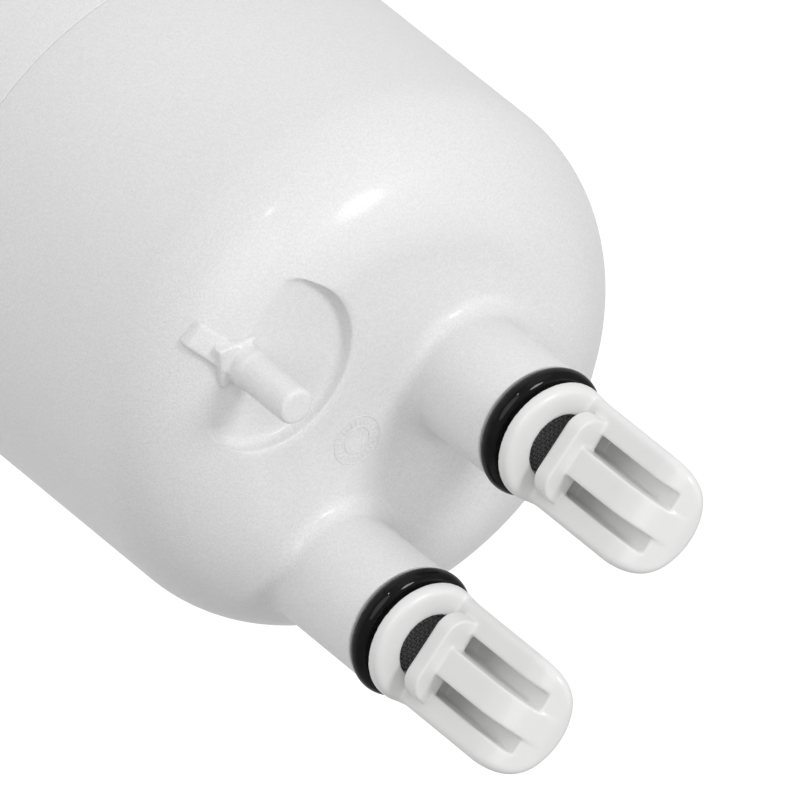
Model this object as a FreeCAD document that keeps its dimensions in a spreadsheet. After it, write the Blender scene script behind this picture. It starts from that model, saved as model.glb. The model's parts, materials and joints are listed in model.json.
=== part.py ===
import FreeCAD, Part
import math
import os
import re
import Sketcher

# Twin-port push-in water filter cartridge, in millimetres.
# The axis of the round housing is +Z and the two ports are at its top end. Z = 0 is the plane
# that the rear cap stands on. The key pin is on the -Y side and the ports are side by side in X.

SIZES = {
    # Housing
    "body_radius": 31.75,
    "wall": 3.0,
    "end_wall": 3.2,
    "end_face": 207.0,
    "shoulder": 12.7,
    "head_seam": 163.0,
    "rear_seam": 26.0,
    "weld_lap": 5.0,
    "weld_wall": 1.4,
    "fit_gap": 0.1,
    # Rear cap
    "foot_rim": 3.6,
    "foot_round": 3.0,
    "grip_half_width": 5.0,
    "grip_depth": 15.0,
    "grip_floor": 3.0,
    # Ports
    "port_radius": 7.18,
    "port_spacing": 25.4,
    "port_mid_x": 6.85,
    "port_mid_y": 4.3,
    "port_base_round": 2.0,
    "bore_radius": 3.8,
    "plug_radius": 5.0,
    "plug_length": 9.0,
    # Port seals, measured from the middle of the seal
    "seal_rise": 14.2,
    "seal_wire": 2.4,
    "seal_outer": 7.55,
    "tube_back": 1.3,
    "neck_radius": 5.1,
    "flange_radius": 7.0,
    "flange_back": 1.96,
    "flange_front": 3.43,
    "flange_round": 0.15,
    # Tongue in front of each port bore, measured from the middle of the seal and the port's axis
    "tongue_radius": 6.82,
    "collar_back": 4.8,
    "collar_front": 7.0,
    "collar_half": 5.1,
    "collar_top": 2.7,
    "collar_round": 2.4,
    "collar_foot": 0.6,
    "rail_level": 0.4,
    "rib_level": 1.0,
    "rib_half": 1.7,
    "groove_half": 3.75,
    "groove_floor": 4.8,
    "groove_end_floor": 2.0,
    "nose_end": 20.7,
    "nose_radius": 6.0,
    "rib_top": 6.0,
    "rail_round": 0.9,
    # Screen inside each port bore
    "screen_drop": 2.4,
    "screen_thickness": 1.2,
    "screen_hole": 0.55,
    "screen_hole_circle": 2.2,
    # Key pin and its recess
    "recess_x": 2.9,
    "recess_y": 20.6,
    "recess_radius": 10.1,
    "recess_depth": 1.7,
    "recess_round": 1.0,
    "recess_lip": 0.4,
    "pin_x": 4.2,
    "pin_y": 23.2,
    "pin_radius": 2.15,
    "pin_foot_radius": 2.36,
    "pin_foot_height": 2.2,
    "pin_height": 10.1,
    "pin_round": 0.35,
    "gusset_half": 1.6,
    "gusset_reach": 6.0,
    "gusset_rise": 1.8,
    "gusset_drop": 2.6,
    "web_reach": 3.3,
    "web_rise": 0.8,
    "web_end_front": 0.3,
    "web_end_back": 1.1,
    "web_root_front": 2.0,
    "web_root_back": 4.4,
    # Filter block and its fittings
    "block_radius": 22.0,
    "block_bore": 8.0,
    "block_bottom": 28.0,
    "block_top": 175.0,
    "glue": 1.0,
    "wrap_radius": 23.0,
    "net_radius": 23.7,
    "slip": 0.05,
    "core_wall": 1.4,
    "core_slot_width": 4.0,
    "core_slot_height": 9.0,
    "cap_radius": 24.6,
    "cap_skirt": 6.0,
    "cap_plate": 3.0,
    "skirt_wall": 1.4,
    "fin_reach": 28.5,
    "fin_half_width": 1.0,
    "fin_height": 8.0,
    "pad_radius": 15.0,
    "pad_height": 6.0,
    "spigot_radius": 6.0,
    "spigot_bore": 3.2,
    "spigot_top": 194.0,
    "spigot_groove": 4.7,
    "spigot_groove_half": 0.9,
    "spigot_seal_wire": 1.4,
    "spigot_seal_low": 186.5,
    "spigot_seal_step": 4.0,
    # Manifold inside the head
    "manifold_radius": 15.0,
    "manifold_wall": 2.6,
    "manifold_floor": 196.0,
    "manifold_plate": 2.4,
    "socket_radius": 8.6,
    "socket_bore": 6.2,
    "socket_bottom": 183.0,
    # Label
    "label_bottom": 42.0,
    "label_top": 146.0,
    "label_thickness": 0.15,
}

CORE_SLOT_ROWS = 8
FIN_COUNT = 4
SCREEN_HOLES = 8

doc = FreeCAD.newDocument("water_filter_cartridge")


def fill_sheet():
    """Put every driving size into the spreadsheet, with its alias in column B."""
    sheet = doc.addObject("Spreadsheet::Sheet", "Sizes")
    for row, (alias, value) in enumerate(SIZES.items(), start=1):
        sheet.set(f"A{row}", alias)
        sheet.set(f"B{row}", str(value))
        sheet.setAlias(f"B{row}", alias)
    doc.recompute()
    return sheet


sheet = fill_sheet()


def bound(text):
    """Turn an expression of plain size names into one that reads the sheet."""
    return re.sub(r"[a-z][a-z_0-9]*", r"Sizes.\g<0>", text)


def value_of(text):
    """Work out an expression of plain size names as a number."""
    return float(sheet.evalExpression(bound(text)))


def new_body(label, at=("0", "0", "0")):
    """Start a body of its own, placed by three expressions."""
    body = doc.addObject("PartDesign::Body", label)
    body.Label = label
    for letter, text in zip("xyz", at):
        body.setExpression(f"Placement.Base.{letter}", bound(text))
    return body


def new_sketch(body, role, offset="0"):
    """Lay a sketch on one of the body's own origin planes, moved along the plane's normal."""
    plane = next(item for item in body.Origin.OriginFeatures if item.Role == role)
    sketch = body.newObject("Sketcher::SketchObject", f"{body.Label}_sketch")
    sketch.AttachmentSupport = [(plane, "")]
    sketch.MapMode = "FlatFace"
    sketch.setExpression("AttachmentOffset.Base.z", bound(offset))
    return sketch


def bind(sketch, kind, *arguments, text):
    """Add a constraint whose value is an expression."""
    index = sketch.addConstraint(Sketcher.Constraint(kind, *arguments, value_of(text)))
    sketch.setExpression(f"Constraints[{index}]", bound(text))


def pin_point(sketch, edge, end, x_text, y_text):
    """Fix a sketch point by its two coordinates."""
    for kind, text, axis in (("DistanceX", x_text, -2), ("DistanceY", y_text, -1)):
        if text == "0":
            sketch.addConstraint(Sketcher.Constraint("PointOnObject", edge, end, axis))
        else:
            bind(sketch, kind, -1, 1, edge, end, text=text)


def arc_between(start, finish, radius):
    """Return the short arc between two points, its centre left of the travel if radius > 0."""
    chord = finish - start
    middle = (start + finish) * 0.5
    rise = math.sqrt(max(radius * radius - chord.Length ** 2 / 4, 0.0))
    left = FreeCAD.Vector(-chord.y, chord.x, 0).normalize()
    centre = middle + left * (rise if radius > 0 else -rise)
    first, last = (start, finish) if radius > 0 else (finish, start)
    angles = [math.atan2(point.y - centre.y, point.x - centre.x) for point in (first, last)]
    circle = Part.Circle(centre, FreeCAD.Vector(0, 0, 1), abs(radius))
    return Part.ArcOfCircle(circle, angles[0], angles[1])


def draw_outline(sketch, corners):
    """Close an outline through its corners.

    A corner is (x, y), or (x, y, radius) where the side after it is an arc: a positive radius
    turns left and a negative one turns right.
    """
    points = [FreeCAD.Vector(value_of(corner[0]), value_of(corner[1]), 0) for corner in corners]
    count = len(corners)
    edges = []
    for number, corner in enumerate(corners):
        start, finish = points[number], points[(number + 1) % count]
        if len(corner) == 3:
            radius = value_of(corner[2])
            edges.append((sketch.addGeometry(arc_between(start, finish, radius)), radius))
            size = corner[2].removeprefix("-")
            bind(sketch, "Radius", edges[-1][0], text=size)
        else:
            edges.append((sketch.addGeometry(Part.LineSegment(start, finish)), 1.0))
    ends = [(edge, 1, 2) if sense > 0 else (edge, 2, 1) for edge, sense in edges]
    for number, corner in enumerate(corners):
        edge, first, last = ends[number]
        after = ends[(number + 1) % count]
        sketch.addConstraint(Sketcher.Constraint("Coincident", edge, last, after[0], after[1]))
        pin_point(sketch, edge, first, corner[0], corner[1])


def draw_circle(sketch, x_text, y_text, radius):
    """Draw a circle by its centre and radius."""
    centre = FreeCAD.Vector(value_of(x_text), value_of(y_text), 0)
    circle = Part.Circle(centre, FreeCAD.Vector(0, 0, 1), value_of(radius))
    edge = sketch.addGeometry(circle)
    pin_point(sketch, edge, 3, x_text, y_text)
    bind(sketch, "Radius", edge, text=radius)


def box_corners(x_low, x_high, y_low, y_high):
    """Return the four corners of an upright rectangle."""
    return [(x_low, y_low), (x_high, y_low), (x_high, y_high), (x_low, y_high)]


def settle(feature):
    """Recompute, and stop if the feature failed."""
    doc.recompute()
    if "Invalid" in feature.State or feature.Shape.isNull():
        raise RuntimeError(f"{feature.Name}: {feature.getStatusString()}")
    return feature


def turn(body, corners):
    """Revolve an outline of (radius, height) corners about the body's Z axis."""
    sketch = new_sketch(body, "XZ_Plane")
    draw_outline(sketch, corners)
    feature = body.newObject("PartDesign::Revolution", f"{body.Label}_turn")
    feature.Profile = sketch
    feature.ReferenceAxis = (sketch, ["V_Axis"])
    feature.Angle = 360
    return settle(feature)


def turned_body(label, corners, at=("0", "0", "0")):
    """Make a body that is one revolved outline."""
    body = new_body(label, at)
    turn(body, corners)
    return body


def extrude(body, sketch, length, cut=False, both_sides=False, backwards=False):
    """Pad or pocket a sketch, and stop if it adds or removes nothing."""
    before = body.Shape.Volume
    kind = "Pocket" if cut else "Pad"
    feature = body.newObject(f"PartDesign::{kind}", f"{body.Label}_{kind.lower()}")
    feature.Profile = sketch
    feature.setExpression("Length", bound(length))
    if both_sides:
        feature.SideType = "Symmetric"
    feature.Reversed = backwards
    settle(feature)
    changed = feature.Shape.Volume - before
    if abs(changed) < 1e-3 or cut == (changed > 0):
        raise RuntimeError(f"{feature.Name} changed the volume by {changed:.4f}")
    return feature


def round_edges(body, radius, wanted):
    """Round each edge of the body's last feature that the test picks."""
    base = body.Tip
    names = [f"Edge{number}" for number, edge in enumerate(base.Shape.Edges, start=1) if wanted(edge)]
    if not names:
        raise RuntimeError(f"{body.Label} has no such edge to round")
    feature = body.newObject("PartDesign::Fillet", f"{body.Label}_round")
    feature.Base = (base, names)
    feature.setExpression("Radius", bound(radius))
    return settle(feature)


def near(first, second, tolerance=0.02):
    """Say whether two numbers agree."""
    return abs(first - second) < tolerance


def is_ring(edge, radius, height):
    """Say whether an edge is a level circle of this radius at this height."""
    if not isinstance(edge.Curve, Part.Circle):
        return False
    return near(edge.Curve.Radius, value_of(radius)) and near(edge.Curve.Center.z, value_of(height))


def make_head_cap():
    """Front shell with its rounded shoulder, port tubes, recess and key pin."""
    body = new_body("head_cap")
    inner = "body_radius - wall"
    ceiling = "end_face - end_wall"
    socket = "body_radius - wall + weld_wall + fit_gap"
    turn(body, [
        (socket, "head_seam"),
        ("body_radius", "head_seam"),
        ("body_radius", "end_face"),
        ("0", "end_face"),
        ("0", ceiling),
        (inner, ceiling),
        (inner, "head_seam + weld_lap"),
        (socket, "head_seam + weld_lap"),
    ])
    round_edges(body, "shoulder", lambda edge: is_ring(edge, "body_radius", "end_face"))
    round_edges(body, "shoulder - wall", lambda edge: is_ring(edge, inner, ceiling))
    cut_recess(body)
    add_port_tubes(body)
    add_key_pin(body)
    return body


def cut_recess(body):
    """Sink the round flat for the key pin; its wall fades out where the shoulder falls away."""
    floor = "end_face - recess_depth"
    sketch = new_sketch(body, "XZ_Plane", "recess_y")
    axis = sketch.addGeometry(Part.LineSegment(
        FreeCAD.Vector(value_of("recess_x"), value_of(floor), 0),
        FreeCAD.Vector(value_of("recess_x"), value_of("end_face + shoulder"), 0)), True)
    pin_point(sketch, axis, 1, "recess_x", floor)
    pin_point(sketch, axis, 2, "recess_x", "end_face + shoulder")
    draw_outline(sketch, [
        ("recess_x", floor),
        ("recess_x + recess_radius - recess_round", floor, "recess_round"),
        ("recess_x + recess_radius", f"{floor} + recess_round"),
        ("recess_x + recess_radius", "end_face - recess_lip", "-recess_lip"),
        ("recess_x + recess_radius + recess_lip", "end_face"),
        ("recess_x + recess_radius + recess_lip", "end_face + shoulder"),
        ("recess_x", "end_face + shoulder"),
    ])
    feature = body.newObject("PartDesign::Groove", "head_cap_recess")
    feature.Profile = sketch
    feature.ReferenceAxis = (sketch, ["Axis0"])
    feature.Angle = 360
    before = body.Shape.Volume
    settle(feature)
    if feature.Shape.Volume > before - 1.0:
        raise RuntimeError("the recess cut nothing")


def port_places():
    """Name each port with the expressions of its axis."""
    return {
        "outlet": ("port_mid_x - port_spacing / 2", "port_mid_y"),
        "inlet": ("port_mid_x + port_spacing / 2", "port_mid_y"),
    }


def add_port_tubes(body):
    """Raise the two port tubes, flare their feet and bore them for the tips."""
    tube_top = "end_face + seal_rise - tube_back"
    tubes = new_sketch(body, "XY_Plane", "end_face - end_wall + fit_gap")
    for x_text, y_text in port_places().values():
        draw_circle(tubes, x_text, y_text, "port_radius")
    extrude(body, tubes, "seal_rise - tube_back + end_wall - fit_gap")
    round_edges(body, "port_base_round", is_port_foot)
    plugs = new_sketch(body, "XY_Plane", tube_top)
    for x_text, y_text in port_places().values():
        draw_circle(plugs, x_text, y_text, "plug_radius + fit_gap")
    extrude(body, plugs, "plug_length + fit_gap", cut=True)
    bores = new_sketch(body, "XY_Plane", tube_top)
    for x_text, y_text in port_places().values():
        draw_circle(bores, x_text, y_text, "bore_radius")
    extrude(body, bores, "seal_rise + end_wall", cut=True)


def points_along(edge, shares):
    """Return the points at these shares of an edge's length."""
    first, last = edge.ParameterRange
    return [edge.valueAt(first + (last - first) * share) for share in shares]


def is_port_foot(edge):
    """Say whether an edge is part of a port tube's foot on the end face or shoulder."""
    box = edge.BoundBox
    inside = value_of("end_face - end_wall + 3 * fit_gap")
    if box.ZMax > value_of("end_face + fit_gap") or box.ZMin < inside:
        return False
    radius = value_of("port_radius")
    points = points_along(edge, (0.0, 0.3, 0.7, 1.0))
    for x_text, y_text in port_places().values():
        x, y = value_of(x_text), value_of(y_text)
        if all(near(math.hypot(point.x - x, point.y - y), radius) for point in points):
            return True
    return False


def add_key_pin(body):
    """Stand the key pin in its recess, with a sloping gusset and two low swept webs."""
    floor = "end_face - recess_depth"
    root = f"{floor} - end_wall / 2"
    gusset = new_sketch(body, "YZ_Plane", "pin_x")
    draw_outline(gusset, [
        ("-pin_y", root),
        ("-pin_y", f"{floor} + gusset_rise"),
        ("-pin_y - pin_radius / 2", f"{floor} + gusset_rise"),
        ("-pin_y - gusset_reach", f"{floor} - gusset_drop"),
        ("-pin_y - gusset_reach", f"{floor} - gusset_drop - wall"),
    ])
    extrude(body, gusset, "gusset_half * 2", both_sides=True)
    webs = new_sketch(body, "XY_Plane", root)
    draw_outline(webs, [
        ("pin_x - web_reach", "-pin_y - web_end_front"),
        ("pin_x - web_reach", "-pin_y - web_end_back"),
        ("pin_x", "-pin_y - web_root_back"),
        ("pin_x + web_reach", "-pin_y - web_end_back"),
        ("pin_x + web_reach", "-pin_y - web_end_front"),
        ("pin_x", "-pin_y - web_root_front"),
    ])
    extrude(body, webs, "end_wall / 2 + web_rise")
    for radius, height in (("pin_foot_radius", "pin_foot_height"), ("pin_radius", "pin_height")):
        pin = new_sketch(body, "XY_Plane", root)
        draw_circle(pin, "pin_x", "-pin_y", radius)
        extrude(body, pin, f"end_wall / 2 + {height}")
    round_edges(body, "pin_round", lambda edge: is_ring(edge, "pin_radius", f"{floor} + pin_height"))


def make_sump_body():
    """Middle tube of the housing, with a welding lap at each end."""
    inner = "body_radius - wall"
    lap = "body_radius - wall + weld_wall"
    return turned_body("sump_body", [
        (inner, "rear_seam - weld_lap"),
        (lap, "rear_seam - weld_lap"),
        (lap, "rear_seam"),
        ("body_radius", "rear_seam"),
        ("body_radius", "head_seam"),
        (lap, "head_seam"),
        (lap, "head_seam + weld_lap"),
        (inner, "head_seam + weld_lap"),
    ])


def make_rear_cap():
    """Closed rear end with a grip bar between two finger recesses."""
    body = new_body("rear_cap")
    socket = "body_radius - wall + weld_wall + fit_gap"
    inner = "body_radius - wall"
    turn(body, [
        ("0", "0"),
        ("body_radius", "0"),
        ("body_radius", "rear_seam"),
        (socket, "rear_seam"),
        (socket, "rear_seam - weld_lap"),
        (inner, "rear_seam - weld_lap"),
        (inner, "grip_depth + grip_floor"),
        ("0", "grip_depth + grip_floor"),
    ])
    round_edges(body, "foot_round", lambda edge: is_ring(edge, "body_radius", "0"))
    for level in ("grip_half_width", "-grip_half_width"):
        recess = new_sketch(body, "XY_Plane")
        draw_half_round(recess, "body_radius - foot_rim", level)
        extrude(body, recess, "grip_depth", cut=True, backwards=True)
    return body


def make_tip(port):
    """Moulded tip of one port: plug, seal neck, flange and the tongue that opens the valve."""
    x_text, y_text = port_places()[port]
    body = new_body(f"{port}_tip", (x_text, y_text, "end_face + seal_rise"))
    turn(body, [
        ("bore_radius", "-tube_back - plug_length"),
        ("plug_radius", "-tube_back - plug_length"),
        ("plug_radius", "-tube_back"),
        ("neck_radius", "-tube_back"),
        ("neck_radius", "flange_back"),
        ("flange_radius", "flange_back"),
        ("flange_radius", "flange_front"),
        ("bore_radius", "flange_front"),
    ])
    add_tongue(body)
    round_edges(body, "flange_round", lambda edge: is_ring(edge, "flange_radius", "flange_front"))
    cut_grooves(body)
    add_collar(body)
    return body


def draw_half_round(sketch, radius, level):
    """Draw the part of a circle beyond a level chord, on the +Y side if the level is positive."""
    size = value_of(radius)
    height = value_of(level)
    reach = math.sqrt(size * size - height * height)
    side = math.copysign(1.0, height)
    left = FreeCAD.Vector(-reach, height, 0)
    right = FreeCAD.Vector(reach, height, 0)
    bow = sketch.addGeometry(Part.Arc(left, FreeCAD.Vector(0, side * size, 0), right))
    chord = sketch.addGeometry(Part.LineSegment(left, right))
    left_end, right_end = (2, 1) if side > 0 else (1, 2)
    sketch.addConstraint(Sketcher.Constraint("Coincident", bow, left_end, chord, 1))
    sketch.addConstraint(Sketcher.Constraint("Coincident", bow, right_end, chord, 2))
    sketch.addConstraint(Sketcher.Constraint("Coincident", bow, 3, -1, 1))
    sketch.addConstraint(Sketcher.Constraint("Horizontal", chord))
    bind(sketch, "Radius", bow, text=radius)
    bind(sketch, "DistanceY", -1, 1, chord, 1, text=level)


def add_tongue(body):
    """Add the half-round tongue, open the bore's throat and let the rails fall to the nose."""
    root = "flange_back + fit_gap"
    section = new_sketch(body, "XY_Plane", root)
    draw_half_round(section, "tongue_radius", "rail_level")
    extrude(body, section, f"nose_end - ({root})")
    throat = new_sketch(body, "XY_Plane", "collar_back")
    draw_circle(throat, "0", "0", "bore_radius")
    extrude(body, throat, "collar_back - flange_back", cut=True)
    nose = new_sketch(body, "YZ_Plane")
    fall = "nose_radius - rib_level - rail_level"
    draw_outline(nose, [
        ("rail_level", f"nose_end - ({fall})", f"-({fall})"),
        ("nose_radius - rib_level", "nose_end"),
        ("nose_radius - rib_level", "nose_end + wall"),
        ("rail_level - wall", "nose_end + wall"),
        ("rail_level - wall", f"nose_end - ({fall})"),
    ])
    extrude(body, nose, "port_spacing", cut=True, both_sides=True)
    round_edges(body, "rail_round", is_tongue_rim)


def is_tongue_rim(edge):
    """Say whether an edge runs along the outside of the rails or round the nose."""
    radius = value_of("tongue_radius")
    lowest = value_of("rail_level - slip")
    points = points_along(edge, (0.0, 0.5, 1.0))
    on_wall = all(near(math.hypot(point.x, point.y), radius) for point in points)
    above = all(point.y > lowest for point in points)
    return on_wall and above and points[1].z > value_of("collar_back")


def cut_grooves(body):
    """Core the tongue, with a floor that rises to the nose, and put the rib back in the middle."""
    core = new_sketch(body, "YZ_Plane")
    draw_outline(core, [
        ("rail_level - wall", "collar_back"),
        ("groove_floor", "collar_back"),
        ("groove_end_floor", "nose_end"),
        ("rail_level - wall", "nose_end"),
    ])
    extrude(body, core, "groove_half * 2", cut=True, both_sides=True)
    rib = new_sketch(body, "YZ_Plane")
    draw_outline(rib, [
        ("-rib_level", "collar_back"),
        ("rib_top", "collar_back"),
        ("rib_top", "nose_end"),
        ("nose_radius - rib_level", "nose_end", "nose_radius"),
        ("-rib_level", "nose_end - nose_radius"),
    ])
    extrude(body, rib, "rib_half * 2", both_sides=True)


def add_collar(body):
    """Add the collar plate across the bore's mouth, with an opening under it each side of the rib."""
    plate = new_sketch(body, "XY_Plane", "collar_back")
    draw_outline(plate, [
        ("-collar_half", "rail_level + collar_foot"),
        ("-collar_half", "collar_round - collar_top", "collar_round"),
        ("collar_round - collar_half", "-collar_top"),
        ("collar_half - collar_round", "-collar_top", "collar_round"),
        ("collar_half", "collar_round - collar_top"),
        ("collar_half", "rail_level + collar_foot"),
    ])
    extrude(body, plate, "collar_front - collar_back")


def ring(label, inner, outer, low, high):
    """Make a body that is a plain upright ring, or a disc if its inner radius is 0."""
    return turned_body(label, box_corners(inner, outer, low, high))


def make_port_seal(port):
    """Round seal in the groove behind a port's flange."""
    x_text, y_text = port_places()[port]
    seal = doc.addObject("Part::Torus", f"{port}_port_seal")
    seal.setExpression("Radius1", bound("seal_outer - seal_wire / 2"))
    seal.setExpression("Radius2", bound("seal_wire / 2"))
    for letter, text in zip("xyz", (x_text, y_text, "end_face + seal_rise")):
        seal.setExpression(f"Placement.Base.{letter}", bound(text))
    return seal


def pattern_round(body, feature, count):
    """Repeat a feature round the body's Z axis."""
    pattern = body.newObject("PartDesign::PolarPattern", f"{body.Label}_pattern")
    pattern.Originals = [feature]
    pattern.Axis = (next(item for item in body.Origin.OriginFeatures if item.Role == "Z_Axis"), [""])
    pattern.Angle = 360
    pattern.Occurrences = count
    body.Tip = pattern
    return settle(pattern)


def make_screen(port):
    """Perforated disc that lies just inside a port's bore."""
    x_text, y_text = port_places()[port]
    body = new_body(f"{port}_screen", (x_text, y_text, "end_face + seal_rise"))
    top = "flange_front - screen_drop + screen_thickness"
    turn(body, box_corners("0", "bore_radius - slip", "flange_front - screen_drop", top))
    hole = new_sketch(body, "XY_Plane", top)
    draw_circle(hole, "screen_hole_circle", "0", "screen_hole")
    pattern_round(body, extrude(body, hole, "screen_thickness", cut=True), SCREEN_HOLES)
    return body


def make_manifold():
    """Welded chamber that leads the filtered water from the middle to the outlet port."""
    ceiling = "end_face - end_wall"
    chamber = "manifold_radius - manifold_wall"
    floor_top = "manifold_floor + manifold_plate"
    return turned_body("manifold", [
        ("socket_bore", "socket_bottom"),
        ("socket_radius", "socket_bottom"),
        ("socket_radius", "manifold_floor"),
        ("manifold_radius", "manifold_floor"),
        ("manifold_radius", ceiling),
        (chamber, ceiling),
        (chamber, floor_top),
        ("socket_bore", floor_top),
    ])


def spigot_seal_heights():
    """Give the heights of the two spigot seals."""
    return ["spigot_seal_low", "spigot_seal_low + spigot_seal_step"]


def make_block_front_cap():
    """End cap of the filter block, with the spigot that plugs into the manifold."""
    plate_low = "block_top + glue"
    plate_high = f"{plate_low} + cap_plate"
    skirt_low = "block_top - cap_skirt"
    outer = [
        ("cap_radius - skirt_wall", plate_low),
        ("cap_radius - skirt_wall", skirt_low),
        ("cap_radius", skirt_low),
        ("cap_radius", plate_high),
        ("spigot_radius", plate_high),
    ]
    grooves = []
    for height in spigot_seal_heights():
        low, high = f"{height} - spigot_groove_half", f"{height} + spigot_groove_half"
        grooves += [("spigot_radius", low), ("spigot_groove", low)]
        grooves += [("spigot_groove", high), ("spigot_radius", high)]
    top = [("spigot_radius", "spigot_top"), ("spigot_bore", "spigot_top"), ("spigot_bore", plate_low)]
    return turned_body("block_front_cap", outer + grooves + top)


def make_spigot_seals():
    """Two small round seals on the spigot, as one group of separate rings."""
    rings = []
    for height in spigot_seal_heights():
        seal = doc.addObject("Part::Torus", "spigot_ring")
        seal.setExpression("Radius1", bound("spigot_groove + spigot_seal_wire / 2"))
        seal.setExpression("Radius2", bound("spigot_seal_wire / 2"))
        seal.setExpression("Placement.Base.z", bound(height))
        rings.append(seal)
    group = doc.addObject("Part::Compound", "spigot_seals")
    group.Links = rings
    return group


def make_core_tube():
    """Slotted tube in the middle of the filter block."""
    body = ring("core_tube", "block_bore - slip - core_wall", "block_bore - slip", "block_bottom", "block_top")
    pitch = f"(block_top - block_bottom) / {CORE_SLOT_ROWS}"
    for plane in ("XZ_Plane", "YZ_Plane"):
        slots = new_sketch(body, plane)
        for row in range(CORE_SLOT_ROWS):
            middle = f"block_bottom + {pitch} * {row + 0.5}"
            draw_outline(slots, box_corners(
                "-core_slot_width / 2", "core_slot_width / 2",
                f"{middle} - core_slot_height / 2", f"{middle} + core_slot_height / 2"))
        extrude(body, slots, "cap_radius", cut=True, both_sides=True)
    return body


def make_block_rear_cap():
    """Closed end cap of the filter block, with fins that centre it in the housing."""
    plate_high = "block_bottom - glue"
    plate_low = f"{plate_high} - cap_plate"
    skirt_high = "block_bottom + cap_skirt"
    body = turned_body("block_rear_cap", [
        ("0", plate_low),
        ("cap_radius", plate_low),
        ("cap_radius", skirt_high),
        ("cap_radius - skirt_wall", skirt_high),
        ("cap_radius - skirt_wall", plate_high),
        ("0", plate_high),
    ])
    fin = new_sketch(body, "XY_Plane", plate_low)
    draw_outline(fin, box_corners(
        "cap_radius - skirt_wall / 2", "fin_reach", "-fin_half_width", "fin_half_width"))
    pattern_round(body, extrude(body, fin, "fin_height"), FIN_COUNT)
    return body


def make_filter_block():
    """Filter block with its wraps, core, glue, end caps and the pad under it."""
    skirt_gap = "cap_skirt + 2 * fit_gap"
    ring("carbon_block", "block_bore", "block_radius", "block_bottom", "block_top")
    ring("prefilter_wrap", "block_radius + slip", "wrap_radius", "block_bottom", "block_top")
    ring("outer_net", "wrap_radius + slip", "net_radius",
         f"block_bottom + {skirt_gap}", f"block_top - ({skirt_gap})")
    make_core_tube()
    glue_inner = "block_bore - core_wall - slip"
    ring("front_glue_ring", glue_inner, "wrap_radius", "block_top", "block_top + glue")
    ring("rear_glue_ring", glue_inner, "wrap_radius", "block_bottom - glue", "block_bottom")
    make_block_front_cap()
    make_spigot_seals()
    make_block_rear_cap()
    pad_low = "grip_depth + grip_floor"
    ring("rear_pad", "0", "pad_radius", pad_low, f"{pad_low} + pad_height")


def make_label():
    """Thin plain label wrapped round the middle tube."""
    ring("label_wrap", "body_radius + slip / 2", "body_radius + label_thickness", "label_bottom", "label_top")


def make_all():
    """Build every sub-part in order."""
    make_head_cap()
    make_sump_body()
    make_rear_cap()
    for port in port_places():
        make_tip(port)
        make_port_seal(port)
        make_screen(port)
    make_manifold()
    make_filter_block()
    make_label()
    doc.recompute()


def sub_parts():
    """List the finished sub-parts: every body, port seal and group of rings."""
    wanted = ("PartDesign::Body", "Part::Torus", "Part::Compound")
    return [item for item in doc.Objects if item.TypeId in wanted and not item.Label.startswith("spigot_ring")]


def check_document():
    """Stop if any object failed or any sub-part has no valid shape."""
    for item in doc.Objects:
        if "Invalid" in item.State or "Error" in item.State:
            raise RuntimeError(f"{item.Name} is {item.State}")
    for item in sub_parts():
        if item.Shape.isNull() or not item.Shape.isValid():
            raise RuntimeError(f"{item.Label} has no valid shape")


def export_parts():
    """Write each sub-part to its own STEP file."""
    os.makedirs("parts", exist_ok=True)
    for item in sub_parts():
        item.Shape.exportStep(os.path.join("parts", f"{item.Label}.step"))
        box = item.Shape.BoundBox
        print(f"{item.Label:18s} {len(item.Shape.Solids)} solid(s) {item.Shape.Volume:10.1f} mm3 "
              f"z {box.ZMin:7.2f} to {box.ZMax:7.2f}")


make_all()
check_document()
export_parts()
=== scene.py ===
"""Twin-port push-in water filter cartridge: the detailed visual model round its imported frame.

Lengths are in millimetres until a mesh is made; Blender's own units are metres. The housing's
axis is +Z, the two ports are at its top end side by side along X, and the key pin is towards -Y.
"""
import json
import logging
import math
from dataclasses import dataclass
from enum import Enum
from typing import Callable, Iterable, Sequence

import bmesh
import bpy
import numpy as np
from mathutils import Matrix, Vector
from mathutils.geometry import delaunay_2d_cdt


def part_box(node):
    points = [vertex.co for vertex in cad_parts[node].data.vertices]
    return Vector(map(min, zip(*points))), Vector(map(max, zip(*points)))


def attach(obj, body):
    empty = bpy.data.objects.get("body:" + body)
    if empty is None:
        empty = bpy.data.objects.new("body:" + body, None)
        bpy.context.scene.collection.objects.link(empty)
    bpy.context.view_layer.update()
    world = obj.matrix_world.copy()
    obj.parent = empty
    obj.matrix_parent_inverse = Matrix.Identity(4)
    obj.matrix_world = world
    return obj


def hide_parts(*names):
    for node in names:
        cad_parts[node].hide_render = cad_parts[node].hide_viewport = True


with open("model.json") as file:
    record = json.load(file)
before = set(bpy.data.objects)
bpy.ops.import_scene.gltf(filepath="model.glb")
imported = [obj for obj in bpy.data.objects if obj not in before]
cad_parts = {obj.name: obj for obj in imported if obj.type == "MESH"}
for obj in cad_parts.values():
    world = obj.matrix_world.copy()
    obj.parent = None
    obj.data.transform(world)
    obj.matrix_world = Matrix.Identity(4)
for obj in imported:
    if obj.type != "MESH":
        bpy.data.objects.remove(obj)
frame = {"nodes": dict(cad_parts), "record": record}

LOG = logging.getLogger("cartridge")
MM = 0.001
BODY = "root"
WELD_GAP = 0.002
NODE_WELD = 1e-6
PLAN_WELD = 1e-5
SHARP_EDGE = math.radians(38)
END_GAP = 4.0
WALL_RINGS = 8
FLOOR_HALF = 6.0
WORLD_STRENGTH = 0.42
LAMP_AIM = Vector((0.0, 0.0, 0.2))

Colour = tuple[float, float, float]
Point = tuple[float, float]


# ---------------------------------------------------------------- shader wiring


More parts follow.
